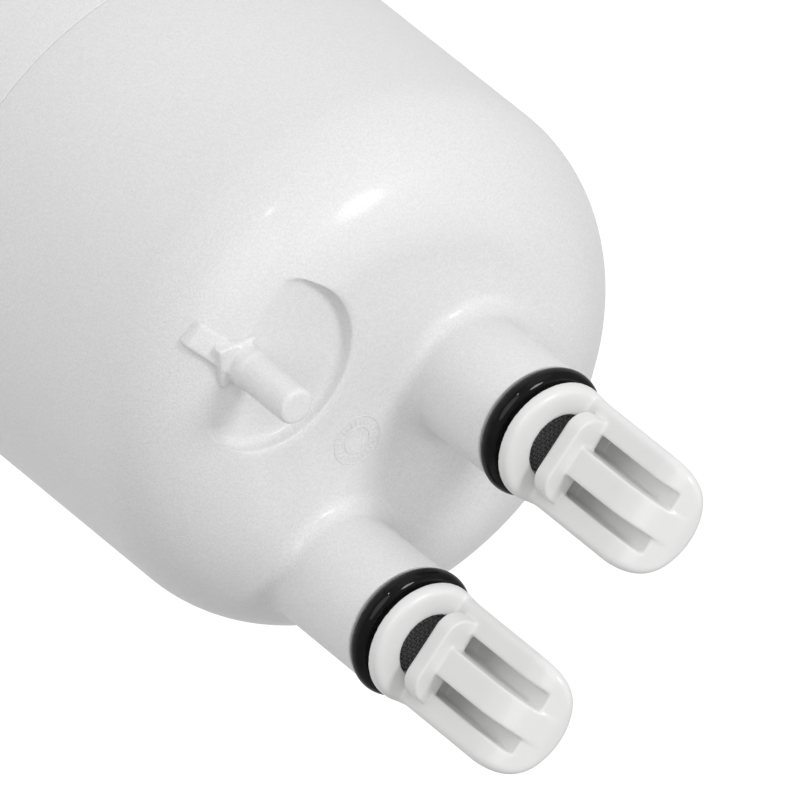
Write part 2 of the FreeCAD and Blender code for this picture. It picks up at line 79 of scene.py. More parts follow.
class Wire:
    """One output socket of a shader tree, which takes part in arithmetic."""

    def __init__(self, board: "Board", socket: bpy.types.NodeSocket) -> None:
        """Hold a socket and the board it is on."""
        self.board = board
        self.socket = socket

    def maths(self, operation: str, *values: "Wire | float") -> "Wire":
        """Add a Math node.

        Args:
            operation: the Math node's operation.
            values: its inputs in order.

        Returns:
            The node's result.
        """
        inputs = dict(enumerate(values))
        return self.board.add("ShaderNodeMath", {"operation": operation}, inputs)

    def __add__(self, other: "Wire | float") -> "Wire":
        """Add a wire or number."""
        return self.maths("ADD", self, other)

    __radd__ = __add__

    def __sub__(self, other: "Wire | float") -> "Wire":
        """Subtract a wire or number."""
        return self.maths("SUBTRACT", self, other)

    def __rsub__(self, other: float) -> "Wire":
        """Subtract this wire from a number."""
        return self.maths("SUBTRACT", other, self)

    def __mul__(self, other: "Wire | float") -> "Wire":
        """Multiply by a wire or number."""
        return self.maths("MULTIPLY", self, other)

    __rmul__ = __mul__

    def __truediv__(self, other: "Wire | float") -> "Wire":
        """Divide by a wire or number."""
        return self.maths("DIVIDE", self, other)

    def above(self, level: float) -> "Wire":
        """Return 1 where the value is over a level and 0 elsewhere."""
        return self.maths("GREATER_THAN", self, level)

    def wave(self) -> "Wire":
        """Return the sine of the value."""
        return self.maths("SINE", self)

    def size(self) -> "Wire":
        """Return the value without its sign."""
        return self.maths("ABSOLUTE", self)

    def ramp(self, low: float, high: float) -> "Wire":
        """Stretch a range smoothly onto 0 to 1.

        Args:
            low: the value that becomes 0.
            high: the value that becomes 1.

        Returns:
            The stretched value.
        """
        settings = {"interpolation_type": "SMOOTHSTEP"}
        return self.board.add("ShaderNodeMapRange", settings, {0: self, 1: low, 2: high})


class Board:
    """A material with one Principled shader and the nodes that feed it."""

    def __init__(self, name: str) -> None:
        """Start the material.

        Args:
            name: the material's name.
        """
        self.material = bpy.data.materials.new(name)
        self.material.use_nodes = True
        self.tree = self.material.node_tree
        self.tree.nodes.clear()
        self.shader = self.tree.nodes.new("ShaderNodeBsdfPrincipled")
        output = self.tree.nodes.new("ShaderNodeOutputMaterial")
        self.tree.links.new(self.shader.outputs[0], output.inputs["Surface"])
        self.place = self.add("ShaderNodeTexCoord", output="Object")

    def add(self, kind: str, settings: dict | None = None, inputs: dict | None = None,
            output: int | str = 0) -> Wire:
        """Add any node.

        Args:
            kind: the node's type.
            settings: properties to set first.
            inputs: value or wire for each input, by name or number.
            output: which output to return.

        Returns:
            The chosen output.
        """
        node = self.tree.nodes.new(kind)
        for name, value in (settings or {}).items():
            setattr(node, name, value)
        for name, value in (inputs or {}).items():
            self.plug(node.inputs[name], value)
        return Wire(self, node.outputs[output])

    def plug(self, socket: bpy.types.NodeSocket, value: object) -> None:
        """Link a wire to an input, or set a plain value on it.

        Args:
            socket: the input.
            value: a wire, number, colour or vector.
        """
        if isinstance(value, Wire):
            self.tree.links.new(value.socket, socket)
        elif socket.type == "RGBA" and len(value) == 3:
            socket.default_value = (*value, 1.0)
        else:
            socket.default_value = value

    def finish(self, **inputs: object) -> bpy.types.Material:
        """Set the shader's own inputs.

        Args:
            inputs: values or wires by input name, with spaces written as underscores.

        Returns:
            The finished material.
        """
        for name, value in inputs.items():
            self.plug(self.shader.inputs[name.replace("_", " ").replace("Ior", "IOR")], value)
        return self.material

    def axis(self, letter: str) -> Wire:
        """Return one coordinate of the object's own space, in metres."""
        return self.add("ShaderNodeSeparateXYZ", inputs={0: self.place}, output=letter)

    def stretched(self, scale: Sequence[float]) -> Wire:
        """Return the object's coordinates scaled along each axis."""
        return self.add("ShaderNodeMapping", inputs={"Vector": self.place, "Scale": scale})

    def noise(self, size: float, detail: float = 3.0, rough: float = 0.5,
              place: Wire | None = None) -> Wire:
        """Add cloudy noise.

        Args:
            size: the width of a cloud in millimetres.
            detail: how many finer layers it has.
            rough: how strong the finer layers are.
            place: coordinates to use in place of the object's own.

        Returns:
            The noise, from 0 to 1.
        """
        inputs = {"Vector": place or self.place, "Scale": 1 / (size * MM), "Detail": detail,
                  "Roughness": rough}
        return self.add("ShaderNodeTexNoise", inputs=inputs)

    def cells(self, size: float) -> Wire:
        """Return the distance to the nearest cell's middle, for a cell width in millimetres."""
        inputs = {"Vector": self.place, "Scale": 1 / (size * MM)}
        return self.add("ShaderNodeTexVoronoi", {"feature": "F1"}, inputs, "Distance")

    def blend(self, share: Wire | float, first: object, second: object) -> Wire:
        """Mix two colours.

        Args:
            share: how much of the second colour to take.
            first: a colour or wire.
            second: a colour or wire.

        Returns:
            The mixed colour.
        """
        node = self.tree.nodes.new("ShaderNodeMix")
        node.data_type = "RGBA"
        for number, value in ((0, share), (6, first), (7, second)):
            self.plug(node.inputs[number], value)
        return Wire(self, node.outputs[2])

    def relief(self, height: Wire, depth: float, under: Wire | None = None) -> Wire:
        """Turn a height into a bumped normal.

        Args:
            height: the height, from 0 to 1.
            depth: the height of 1 in millimetres.
            under: a normal to build on.

        Returns:
            The normal.
        """
        inputs = {"Height": height, "Distance": depth * MM, "Strength": 1.0}
        if under is not None:
            inputs["Normal"] = under
        return self.add("ShaderNodeBump", inputs=inputs)


# ---------------------------------------------------------------- finishes


def shade(colour: Colour, factor: float) -> Colour:
    """Return a colour made lighter or darker."""
    return tuple(min(1.0, part * factor) for part in colour)


@dataclass(frozen=True)
class Finish:
    """A named surface that wires its own shader."""

    name: str

    def material(self) -> bpy.types.Material:
        """Build the material."""
        return self.wire(Board(self.name))

    def wire(self, board: Board) -> bpy.types.Material:
        """Wire the shader; each kind of surface has its own."""
        raise NotImplementedError


@dataclass(frozen=True)
class MouldedPlastic(Finish):
    """White moulded plastic with an eroded grain, slow flow marks and a few scuffs."""

    colour: Colour
    roughness: float
    grain_depth: float
    grain_size: float = 0.26
    mottle: float = 0.35
    flow_depth: float = 0.02
    scuffs: float = 0.03
    coat: float = 0.0
    coat_roughness: float = 0.2
    translucency: float = 0.12

    def wire(self, board: Board) -> bpy.types.Material:
        """Wire the shader."""
        grain = board.noise(self.grain_size, detail=4.0, rough=0.62)
        flow = board.noise(9.0, detail=2.0, place=board.stretched((1.0, 1.0, 0.35)))
        blotch = board.noise(17.0, detail=3.0)
        scratch_place = board.stretched((6.0, 1.0, 0.25))
        scratch = board.noise(1.6, detail=5.0, rough=0.7, place=scratch_place).ramp(0.70, 0.78)
        specks = board.cells(2.4).ramp(0.05, 0.0) * board.noise(5.0).above(0.62)
        tone = (grain - 0.5) * self.mottle + (blotch - 0.5) * 0.5 + 0.5
        colour = board.blend(tone, shade(self.colour, 0.955), shade(self.colour, 1.03))
        colour = board.blend(specks * 0.16, colour, (0.42, 0.40, 0.37))
        gloss = (grain - 0.5) * 0.16 + (flow - 0.5) * 0.10 + scratch * self.scuffs + self.roughness
        normal = board.relief(flow, self.flow_depth)
        normal = board.relief(grain, self.grain_depth, normal)
        normal = board.relief(1.0 - scratch, self.scuffs * 0.05, normal)
        return board.finish(
            Base_Color=colour, Roughness=gloss, Normal=normal, Coat_Weight=self.coat,
            Coat_Roughness=self.coat_roughness, Subsurface_Weight=self.translucency,
            Subsurface_Radius=(1.0, 0.95, 0.9), Subsurface_Scale=1.4 * MM, Ior=1.49)


@dataclass(frozen=True)
class SealRubber(Finish):
    """Black moulded rubber with a film of grease that is uneven in gloss."""

    colour: Colour = (0.003, 0.003, 0.0033)

    def wire(self, board: Board) -> bpy.types.Material:
        """Wire the shader."""
        film = board.noise(1.3, detail=3.0)
        dust = board.noise(0.12, detail=2.0).ramp(0.66, 0.78)
        colour = board.blend(film, self.colour, shade(self.colour, 2.1))
        colour = board.blend(dust * 0.04, colour, (0.2, 0.2, 0.2))
        normal = board.relief(board.noise(0.35, detail=4.0), 0.006)
        return board.finish(
            Base_Color=colour, Roughness=film * 0.14 + dust * 0.2 + 0.24, Normal=normal,
            Specular_IOR_Level=0.03, Coat_Weight=film * 0.3 + 0.2, Coat_Roughness=0.03)


@dataclass(frozen=True)
class StrainerThread(Finish):
    """Dark grey drawn thread of the strainer."""

    colour: Colour = (0.13, 0.13, 0.132)

    def wire(self, board: Board) -> bpy.types.Material:
        """Wire the shader."""
        drawn = board.noise(0.09, detail=4.0)
        colour = board.blend(drawn, shade(self.colour, 0.6), shade(self.colour, 1.5))
        normal = board.relief(drawn, 0.006)
        return board.finish(Base_Color=colour, Roughness=drawn * 0.25 + 0.38, Normal=normal)


@dataclass(frozen=True)
class PressedCarbon(Finish):
    """Sintered black granules, with painted glints of lighter grey."""

    colour: Colour = (0.022, 0.022, 0.024)

    def wire(self, board: Board) -> bpy.types.Material:
        """Wire the shader."""
        grit = board.cells(0.7)
        glint = board.noise(0.3, detail=5.0).ramp(0.62, 0.72)
        colour = board.blend(grit.ramp(0.1, 0.9), shade(self.colour, 2.2), self.colour)
        # Painted glint: the glint mask lightens the colour towards grey, besides lowering the
        # roughness.
        colour = board.blend(glint * 0.4, colour, (0.16, 0.16, 0.17))
        normal = board.relief(grit, 0.25)
        return board.finish(Base_Color=colour, Roughness=0.86 - glint * 0.35, Normal=normal)


@dataclass(frozen=True)
class Felt(Finish):
    """Loose white fibres pressed into a sheet."""

    colour: Colour = (0.84, 0.84, 0.81)

    def wire(self, board: Board) -> bpy.types.Material:
        """Wire the shader."""
        along = board.noise(0.8, detail=6.0, place=board.stretched((5.0, 5.0, 0.6)))
        across = board.noise(0.8, detail=6.0, place=board.stretched((0.7, 0.7, 6.0)))
        fibres = (along * across).ramp(0.18, 0.38)
        colour = board.blend(fibres, shade(self.colour, 0.8), self.colour)
        normal = board.relief(fibres, 0.12)
        return board.finish(Base_Color=colour, Roughness=0.97 - fibres * 0.1, Normal=normal,
                            Sheen_Weight=0.3)


@dataclass(frozen=True)
class DiamondNet(Finish):
    """Extruded plastic net whose strands cross at a slant, with painted shade in the holes between
    them.
    """

    colour: Colour = (0.82, 0.84, 0.85)
    strands: float = 26.0

    def wire(self, board: Board) -> bpy.types.Material:
        """Wire the shader."""
        turn = board.add("ShaderNodeMath", {"operation": "ARCTAN2"},
                         {0: board.axis("Y"), 1: board.axis("X")})
        climb = board.axis("Z") / (3.2 * MM)
        right = ((turn * self.strands + climb) * 0.5).wave().size()
        left = ((turn * self.strands - climb) * 0.5).wave().size()
        hole = right.ramp(0.15, 0.4) * left.ramp(0.15, 0.4)
        # Painted shade: the holes between the strands are coloured darker.
        colour = board.blend(hole, self.colour, shade(self.colour, 0.55))
        normal = board.relief(1.0 - hole, 0.35)
        return board.finish(Base_Color=colour, Roughness=hole * 0.3 + 0.4, Normal=normal)


@dataclass(frozen=True)
class HotGlue(Finish):
    """Amber hot-melt glue with bubbles."""

    colour: Colour = (0.80, 0.70, 0.48)

    def wire(self, board: Board) -> bpy.types.Material:
        """Wire the shader."""
        bubbles = board.cells(1.5).ramp(0.0, 0.45)
        cloudy = board.noise(4.0)
        colour = board.blend(cloudy, shade(self.colour, 0.82), self.colour)
        normal = board.relief(bubbles, 0.12)
        return board.finish(Base_Color=colour, Roughness=cloudy * 0.2 + 0.25, Normal=normal,
                            Subsurface_Weight=0.3, Subsurface_Scale=2.0 * MM)


@dataclass(frozen=True)
class ClosedFoam(Finish):
    """Closed-cell foam cut from a sheet, with painted shade in its pores."""

    colour: Colour = (0.16, 0.16, 0.17)

    def wire(self, board: Board) -> bpy.types.Material:
        """Wire the shader."""
        pores = board.cells(0.45).ramp(0.0, 0.5)
        # Painted shade: each pore is coloured darker towards its sunken middle.
        colour = board.blend(pores, shade(self.colour, 0.5), shade(self.colour, 1.2))
        normal = board.relief(pores, 0.12)
        return board.finish(Base_Color=colour, Roughness=0.95 - pores * 0.08, Normal=normal)


@dataclass(frozen=True)
class FilmLabel(Finish):
    """Plain printed film: pale ground, one wide soft band and two thin rules, no lettering."""

    bottom: float
    top: float
    ground: Colour = (0.80, 0.83, 0.85)
    band: Colour = (0.16, 0.36, 0.50)

    def wire(self, board: Board) -> bpy.types.Material:
        """Wire the shader."""
        height = (board.axis("Z") - self.bottom) / (self.top - self.bottom)
        ink = board.noise(0.10, detail=2.0)
        wrinkle = board.noise(14.0, detail=2.0)
        wide = (height - 0.80).size().ramp(0.101, 0.0995)
        rules = ((height - 0.66).size().ramp(0.0052, 0.0044)
                 + (height - 0.10).size().ramp(0.0052, 0.0044))
        tint = board.blend(ink, shade(self.band, 0.9), shade(self.band, 1.12))
        colour = board.blend(wrinkle, shade(self.ground, 0.97), self.ground)
        colour = board.blend((wide + rules) * 0.94, colour, tint)
        normal = board.relief(wrinkle, 0.05)
        return board.finish(Base_Color=colour, Roughness=wrinkle * 0.12 + ink * 0.05 + 0.26,
                            Normal=normal, Coat_Weight=0.3, Coat_Roughness=0.15)


@dataclass(frozen=True)
class PaleFloor(Finish):
    """Seamless pale floor that looks evenly lit to the camera and throws no light upwards."""

    colour: Colour = (0.93, 0.93, 0.93)
    glow: float = 0.45

    def wire(self, board: Board) -> bpy.types.Material:
        """Wire the shader."""
        cloud = board.noise(60.0)
        colour = board.blend(cloud, shade(self.colour, 0.995), self.colour)
        seen = board.add("ShaderNodeLightPath", output="Is Camera Ray")
        glow = board.blend(seen, (0.0, 0.0, 0.0), colour)
        return board.finish(Base_Color=colour, Roughness=0.9, Emission_Color=glow,
                            Emission_Strength=self.glow)


class Stuff(Enum):
    """Material slots of the record, by the name of what each one is."""

    HOUSING = "housing_white"
    TIP = "tip_white"
    SEAL = "seal_black"
    SCREEN = "screen_grey"
    MANIFOLD = "manifold_white"
    CAP = "block_cap_white"
    CARBON = "carbon"
    WRAP = "wrap"
    NET = "net"
    CORE = "core"
    GLUE = "glue"
    FOAM = "foam"
    LABEL = "label"


def make_finishes() -> dict[Stuff, bpy.types.Material]:
    """Build every finish once.

    Returns:
        The material of each slot.
    """
    label_low, label_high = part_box("label_wrap")
    finishes = {
        Stuff.HOUSING: MouldedPlastic("satin housing", (0.82, 0.82, 0.82), 0.35, 0.06,
                                      grain_size=0.24, mottle=6.0, coat=0.22,
                                      coat_roughness=0.14),
        Stuff.TIP: MouldedPlastic("smooth tip", (0.83, 0.83, 0.825), 0.32, 0.012, coat=0.2,
                                  flow_depth=0.012, scuffs=0.02, translucency=0.04),
        Stuff.SEAL: SealRubber("seal rubber"),
        Stuff.SCREEN: StrainerThread("strainer thread"),
        Stuff.MANIFOLD: MouldedPlastic("natural manifold", (0.74, 0.74, 0.70), 0.40, 0.010,
                                       translucency=0.3),
        Stuff.CAP: MouldedPlastic("block cap plastic", (0.78, 0.78, 0.75), 0.42, 0.010),
        Stuff.CARBON: PressedCarbon("pressed carbon"),
        Stuff.WRAP: Felt("prefilter felt"),
        Stuff.NET: DiamondNet("extruded net"),
        Stuff.CORE: MouldedPlastic("core tube plastic", (0.72, 0.72, 0.69), 0.45, 0.012),
        Stuff.GLUE: HotGlue("hot glue"),
        Stuff.FOAM: ClosedFoam("closed foam"),
        Stuff.LABEL: FilmLabel("plain label", label_low[2], label_high[2]),
    }
    return {stuff: finish.material() for stuff, finish in finishes.items()}


# ---------------------------------------------------------------- mesh building


class Skin:
    """A mesh under construction, in millimetres, that welds its patches at the end."""

    def __init__(self) -> None:
        """Start empty."""
        self.points: list[tuple[float, float, float]] = []
        self.faces: list[tuple[int, ...]] = []

    def add_points(self, points: Iterable[Sequence[float]]) -> list[int]:
        """Add points.

        Args:
            points: their coordinates.

        Returns:
            The number of each one.
        """
        start = len(self.points)
        self.points.extend(tuple(float(part) for part in point) for point in points)
        return list(range(start, len(self.points)))

    def bridge(self, first: list[int], second: list[int]) -> None:
        """Join two closed rings of equal length by quads.

        Args:
            first: the lower ring, anticlockwise from above.
            second: the upper ring.
        """
        count = len(first)
        for step in range(count):
            after = (step + 1) % count
            self.faces.append((first[step], first[after], second[after], second[step]))

    def stack(self, rings: Sequence[np.ndarray]) -> list[list[int]]:
        """Add rings of points and join each one to the next.

        Args:
            rings: closed rings with the same number of points.

        Returns:
            The point numbers of each ring.
        """
        numbers = [self.add_points(ring) for ring in rings]
        for first, second in zip(numbers, numbers[1:]):
            self.bridge(first, second)
        return numbers

    def cap(self, ring: list[int], upwards: bool) -> None:
        """Close a ring with a fan about its middle.

        Args:
            ring: the ring's points.
            upwards: whether the cap faces along +Z.
        """
        middle = self.add_points([np.mean([self.points[index] for index in ring], axis=0)])[0]
        for first, second in zip(ring, ring[1:] + ring[:1]):
            self.faces.append((first, second, middle) if upwards else (second, first, middle))

    def mesh(self, name: str) -> bpy.types.Mesh:
        """Weld the patches, face everything outwards and shade it smooth.

        Args:
            name: the mesh's name.

        Returns:
            The mesh, in metres.
        """
        mesh = bpy.data.meshes.new(name)
        mesh.from_pydata([Vector(point) * MM for point in self.points], [], self.faces)
        tidy_mesh(mesh)
        return mesh


def tidy_mesh(mesh: bpy.types.Mesh) -> None:
    """Merge doubles, recalculate normals and shade smooth between sharp edges."""
    work = bmesh.new()
    work.from_mesh(mesh)
    bmesh.ops.remove_doubles(work, verts=work.verts, dist=WELD_GAP * MM)
    bmesh.ops.dissolve_degenerate(work, edges=work.edges, dist=WELD_GAP * MM / 2)
    bmesh.ops.recalc_face_normals(work, faces=work.faces)
    work.to_mesh(mesh)
    work.free()
    mesh.shade_smooth()
    mesh.set_sharp_from_angle(angle=SHARP_EDGE)


def inside(point: np.ndarray, outline: np.ndarray) -> bool:
    """Say whether a point is inside a closed outline."""
    x, y = point
    ahead = np.roll(outline, -1, axis=0)
    crosses = (outline[:, 1] > y) != (ahead[:, 1] > y)
    slope = (ahead[:, 0] - outline[:, 0]) / np.where(crosses, ahead[:, 1] - outline[:, 1], 1.0)
    return bool(np.count_nonzero(crosses & (x < outline[:, 0] + slope * (y - outline[:, 1]))) % 2)


def triangulated(outer: np.ndarray, holes: list[np.ndarray],
                 loose: Sequence[Point] = ()) -> tuple[np.ndarray, list[tuple[int, ...]]]:
    """Triangulate a plan inside one closed outline and outside others.

    Args:
        outer: the outline round it.
        holes: the outlines that stay open.
        loose: points to use besides the outlines'.

    Returns:
        The plan's points, and its faces as anticlockwise point numbers.
    """
    flat, edges = [], []
    for loop in (*holes, outer):
        start, count = len(flat), len(loop)
        edges += [(start + i, start + (i + 1) % count) for i in range(count)]
        flat += [Vector(point[:2]) for point in loop]
    flat += [Vector(point) for point in loose]
    points, _, faces, *_ = delaunay_2d_cdt(flat, edges, [], 0, PLAN_WELD)
    plan = np.array([tuple(point) for point in points])
    return plan, [tuple(face) for face in faces
                  if not any(inside(plan[list(face)].mean(axis=0), hole) for hole in holes)]


def circle(radius: float, height: float, steps: int, centre: Point = (0.0, 0.0)) -> np.ndarray:
    """Return a level ring of points, anticlockwise from +X.

    Args:
        radius: its radius.
        height: its Z.
        steps: how many points it has.
        centre: its middle.

    Returns:
        An array of points.
    """
    angles = np.arange(steps) * (2 * math.pi / steps)
    return np.stack([centre[0] + radius * np.cos(angles), centre[1] + radius * np.sin(angles),
                     np.full(steps, height)], axis=1)


def arc(centre: Point, radius: float, start: float, end: float, steps: int) -> list[Point]:
    """Return points along an arc.

    Args:
        centre: the arc's centre.
        radius: its radius.
        start: its first angle in degrees.
        end: its last angle in degrees.
        steps: how many spans it has.

    Returns:
        The points, ends included.
    """
    angles = np.radians(np.linspace(start, end, steps + 1))
    return [(centre[0] + radius * math.cos(a), centre[1] + radius * math.sin(a)) for a in angles]


def wall_line(radius: float, low: float, high: float) -> list[Point]:
    """Return even points up a straight wall, clear of its two ends."""
    return [(radius, height) for height in np.linspace(low + END_GAP, high - END_GAP, WALL_RINGS)]


def turned(profile: Sequence[Point], steps: int, centre: Point = (0.0, 0.0)) -> Skin:
    """Turn an outline about an upright axis.

    Args:
        profile: (radius, height) points; a radius of 0 at an end closes it with a fan.
        steps: points round the axis.
        centre: where the axis stands.

    Returns:
        The skin, a closed ring if the outline's two ends are not on the axis.
    """
    skin = Skin()
    open_low, open_high = profile[0][0] == 0, profile[-1][0] == 0
    inner = profile[1 if open_low else 0:-1 if open_high else None]
    numbers = skin.stack([circle(radius, height, steps, centre) for radius, height in inner])
    if open_low:
        skin.cap(numbers[0], upwards=False)
    if open_high:
        skin.cap(numbers[-1], upwards=True)
    if not open_low and not open_high:
        skin.bridge(numbers[-1], numbers[0])
    return skin


def remeshed(name: str, source: bpy.types.Mesh, voxel: float, smoothing: int,
             settle: Callable[[np.ndarray], np.ndarray] | None = None) -> bpy.types.Mesh:
    """Fuse a mesh's closed solids into one even skin with softened edges.

    Args:
        name: the result's name.
        source: the mesh, in metres.
        voxel: the skin's spacing in millimetres.
        smoothing: how many times to relax the skin.
        settle: moves the skin's points, in millimetres, onto their true round surfaces.

    Returns:
        The new mesh.
    """
    holder = bpy.data.objects.new(name, source)
    bpy.context.scene.collection.objects.link(holder)
    remesh = holder.modifiers.new("Skin", "REMESH")
    remesh.mode = "VOXEL"
    remesh.voxel_size = voxel * MM
    result = bake_modifiers(holder, name)
    if settle is not None:
        places = np.empty(len(result.vertices) * 3)
        result.vertices.foreach_get("co", places)
        moved = settle(places.reshape(-1, 3) / MM) * MM
        result.vertices.foreach_set("co", moved.ravel())
    holder.data = result
    holder.modifiers.clear()
    relax = holder.modifiers.new("Relax", "SMOOTH")
    relax.factor = 0.5
    relax.iterations = smoothing
    final = bake_modifiers(holder, name)
    bpy.data.objects.remove(holder)
    final.shade_smooth()
    return final


def bake_modifiers(holder: bpy.types.Object, name: str) -> bpy.types.Mesh:
    """Return the object's evaluated mesh as a plain one."""
    bpy.context.view_layer.update()
    graph = bpy.context.evaluated_depsgraph_get()
    mesh = bpy.data.meshes.new_from_object(holder.evaluated_get(graph))
    mesh.name = name
    return mesh


def merged_copy(node: str) -> bpy.types.Mesh:
    """Return a welded copy of a frame node's mesh."""
    mesh = frame["nodes"][node].data.copy()
    work = bmesh.new()
    work.from_mesh(mesh)
    bmesh.ops.remove_doubles(work, verts=work.verts, dist=NODE_WELD)
    work.to_mesh(mesh)
    work.free()
    return mesh


class Workshop:
    """Puts finished meshes into the scene as pieces of the object."""

    def __init__(self) -> None:
        """Build the finishes."""
        self.finishes = make_finishes()

    def place(self, name: str, mesh: bpy.types.Mesh, stuff: Stuff, *nodes: str) -> None:
        """Add a piece.

        Args:
            name: its name.
            mesh: its mesh, in place.
            stuff: its finish.
            nodes: the frame nodes it stands for.
        """
        piece = bpy.data.objects.new(name, mesh)
        bpy.context.scene.collection.objects.link(piece)
        mesh.materials.clear()
        mesh.materials.append(self.finishes[stuff])
        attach(piece, BODY)
        if nodes:
            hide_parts(*nodes)
        LOG.info("%s: %d faces, %s", name, len(mesh.polygons), stuff.value)

    def dress_nodes(self) -> None:
        """Give every frame node the finish of its own slot."""
        for entry in frame["record"]["subparts"]:
            material = self.finishes[Stuff(entry["material_slot"])]
            data = frame["nodes"][entry["node"]].data
            if not data.materials:
                data.materials.append(material)
            for number in range(len(data.materials)):
                data.materials[number] = material


class NodeTree:
    """A Geometry Nodes tree with named inputs, built node by node."""

    def __init__(self, name: str, inputs: dict[str, float | int | tuple]) -> None:
        """Start the tree.

        Args:
            name: its name.
            inputs: each input's name and starting value.
        """
        self.tree = bpy.data.node_groups.new(name, "GeometryNodeTree")
        self.values = inputs
        kinds = {float: "NodeSocketFloat", int: "NodeSocketInt", tuple: "NodeSocketVector"}
        for label, value in inputs.items():
            self.tree.interface.new_socket(label, in_out="INPUT", socket_type=kinds[type(value)])
        for label, way in (("Material", "INPUT"), ("Geometry", "OUTPUT")):
            self.tree.interface.new_socket(label, in_out=way, socket_type=f"NodeSocket{label}")
        self.group = self.tree.nodes.new("NodeGroupInput")

    def given(self, label: str) -> bpy.types.NodeSocket:
        """Return a named input of the tree."""
        return self.group.outputs[label]

    def add(self, kind: str, settings: dict | None = None, inputs: dict | None = None,
            output: int | str = 0) -> bpy.types.NodeSocket:
        """Add any node.

        Args:
            kind: the node's type.
            settings: properties to set first.
            inputs: value, socket, or list of sockets for each input, by name or number.
            output: which output to return.

        Returns:
            The chosen output.
        """
        node = self.tree.nodes.new(kind)
        for name, value in (settings or {}).items():
            setattr(node, name, value)
        for name, value in (inputs or {}).items():
            for item in value if isinstance(value, list) else [value]:
                if isinstance(item, bpy.types.NodeSocket):
                    self.tree.links.new(item, node.inputs[name])
                else:
                    node.inputs[name].default_value = item
        return node.outputs[output]

    def maths(self, operation: str, *values: object) -> bpy.types.NodeSocket:
        """Add a Math node and return its result."""
        return self.add("ShaderNodeMath", {"operation": operation}, dict(enumerate(values)))

    def product(self, first: object, *others: object) -> bpy.types.NodeSocket:
        """Multiply values together."""
        for other in others:
            first = self.maths("MULTIPLY", first, other)
        return first

    def at(self, **parts: object) -> bpy.types.NodeSocket:
        """Return a vector from its X, Y and Z; one left out is 0."""
        return self.add("ShaderNodeCombineXYZ", inputs=parts)

    def ring(self, points: object, radius: object) -> bpy.types.NodeSocket:
        """Return a level circle about the origin, as a curve."""
        inputs = {"Resolution": points, "Radius": radius}
        return self.add("GeometryNodeCurvePrimitiveCircle", inputs=inputs)

    def sweep(self, path: object, section: object, capped: bool = False) -> bpy.types.NodeSocket:
        """Return the mesh of a section swept along a path."""
        inputs = {"Curve": path, "Profile Curve": section, "Fill Caps": capped}
        return self.add("GeometryNodeCurveToMesh", inputs=inputs)

    def moved(self, geometry: object, **how: object) -> bpy.types.NodeSocket:
        """Return geometry with a Translation, Rotation or Scale."""
        return self.add("GeometryNodeTransform", inputs={"Geometry": geometry, **how})

    def row(self, count: object, start: object, step: object) -> bpy.types.NodeSocket:
        """Return evenly stepped points."""
        inputs = {"Count": count, "Start Location": start, "Offset": step}
        return self.add("GeometryNodeMeshLine", inputs=inputs)

    def copies(self, points: object, item: object, **how: object) -> bpy.types.NodeSocket:
        """Return an item set on every point."""
        inputs = {"Points": points, "Instance": item, **how}
        return self.add("GeometryNodeInstanceOnPoints", inputs=inputs)

    def join(self, *parts: object) -> bpy.types.NodeSocket:
        """Return several geometries as one."""
        return self.add("GeometryNodeJoinGeometry", inputs={0: list(parts)})

    def grow(self, name: str, geometry: bpy.types.NodeSocket,
             material: bpy.types.Material) -> bpy.types.Mesh:
        """Finish the tree and turn its result into a plain mesh.

        Args:
            name: the mesh's name.
            geometry: the tree's result.
            material: the finish that the tree sets.

        Returns:
            The mesh.
        """
        solid = self.add("GeometryNodeRealizeInstances", inputs={"Geometry": geometry})
        dressed = self.add("GeometryNodeSetMaterial",
                           inputs={"Geometry": solid, "Material": self.given("Material")})
        output = self.tree.nodes.new("NodeGroupOutput")
        self.tree.links.new(dressed, output.inputs[0])
        holder = bpy.data.objects.new(name, bpy.data.meshes.new(name))
        bpy.context.scene.collection.objects.link(holder)
        modifier = holder.modifiers.new("Build", "NODES")
        modifier.node_group = self.tree
        for item in self.tree.interface.items_tree:
            if item.in_out == "INPUT":
                modifier[item.identifier] = self.values.get(item.name, material)
        mesh = bake_modifiers(holder, name)
        holder.modifiers.remove(modifier)
        bpy.data.objects.remove(holder)
        return mesh


# ---------------------------------------------------------------- the cartridge


@dataclass
class Port:
    """Where one port stands, read from its seal."""

    name: str
    centre: Point = (0.0, 0.0)
    seal_height: float = 0.0
    seal_radius: float = 0.0
    seal_wire: float = 0.0

    def __post_init__(self) -> None:
        """Read the port's seal in the frame."""
        low, high = (np.array(corner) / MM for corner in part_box(f"{self.name}_port_seal"))
        middle = (low + high) / 2
        self.centre = (float(middle[0]), float(middle[1]))
        self.seal_height = float(middle[2])
        self.seal_wire = float(high[2] - low[2])
        self.seal_radius = float(high[0] - low[0]) / 2

    def above_seal(self, rise: float) -> tuple[float, float, float]:
        """Return a place on the port's axis above the seal's middle, in metres."""
        return self.centre[0] * MM, self.centre[1] * MM, (self.seal_height + rise) * MM


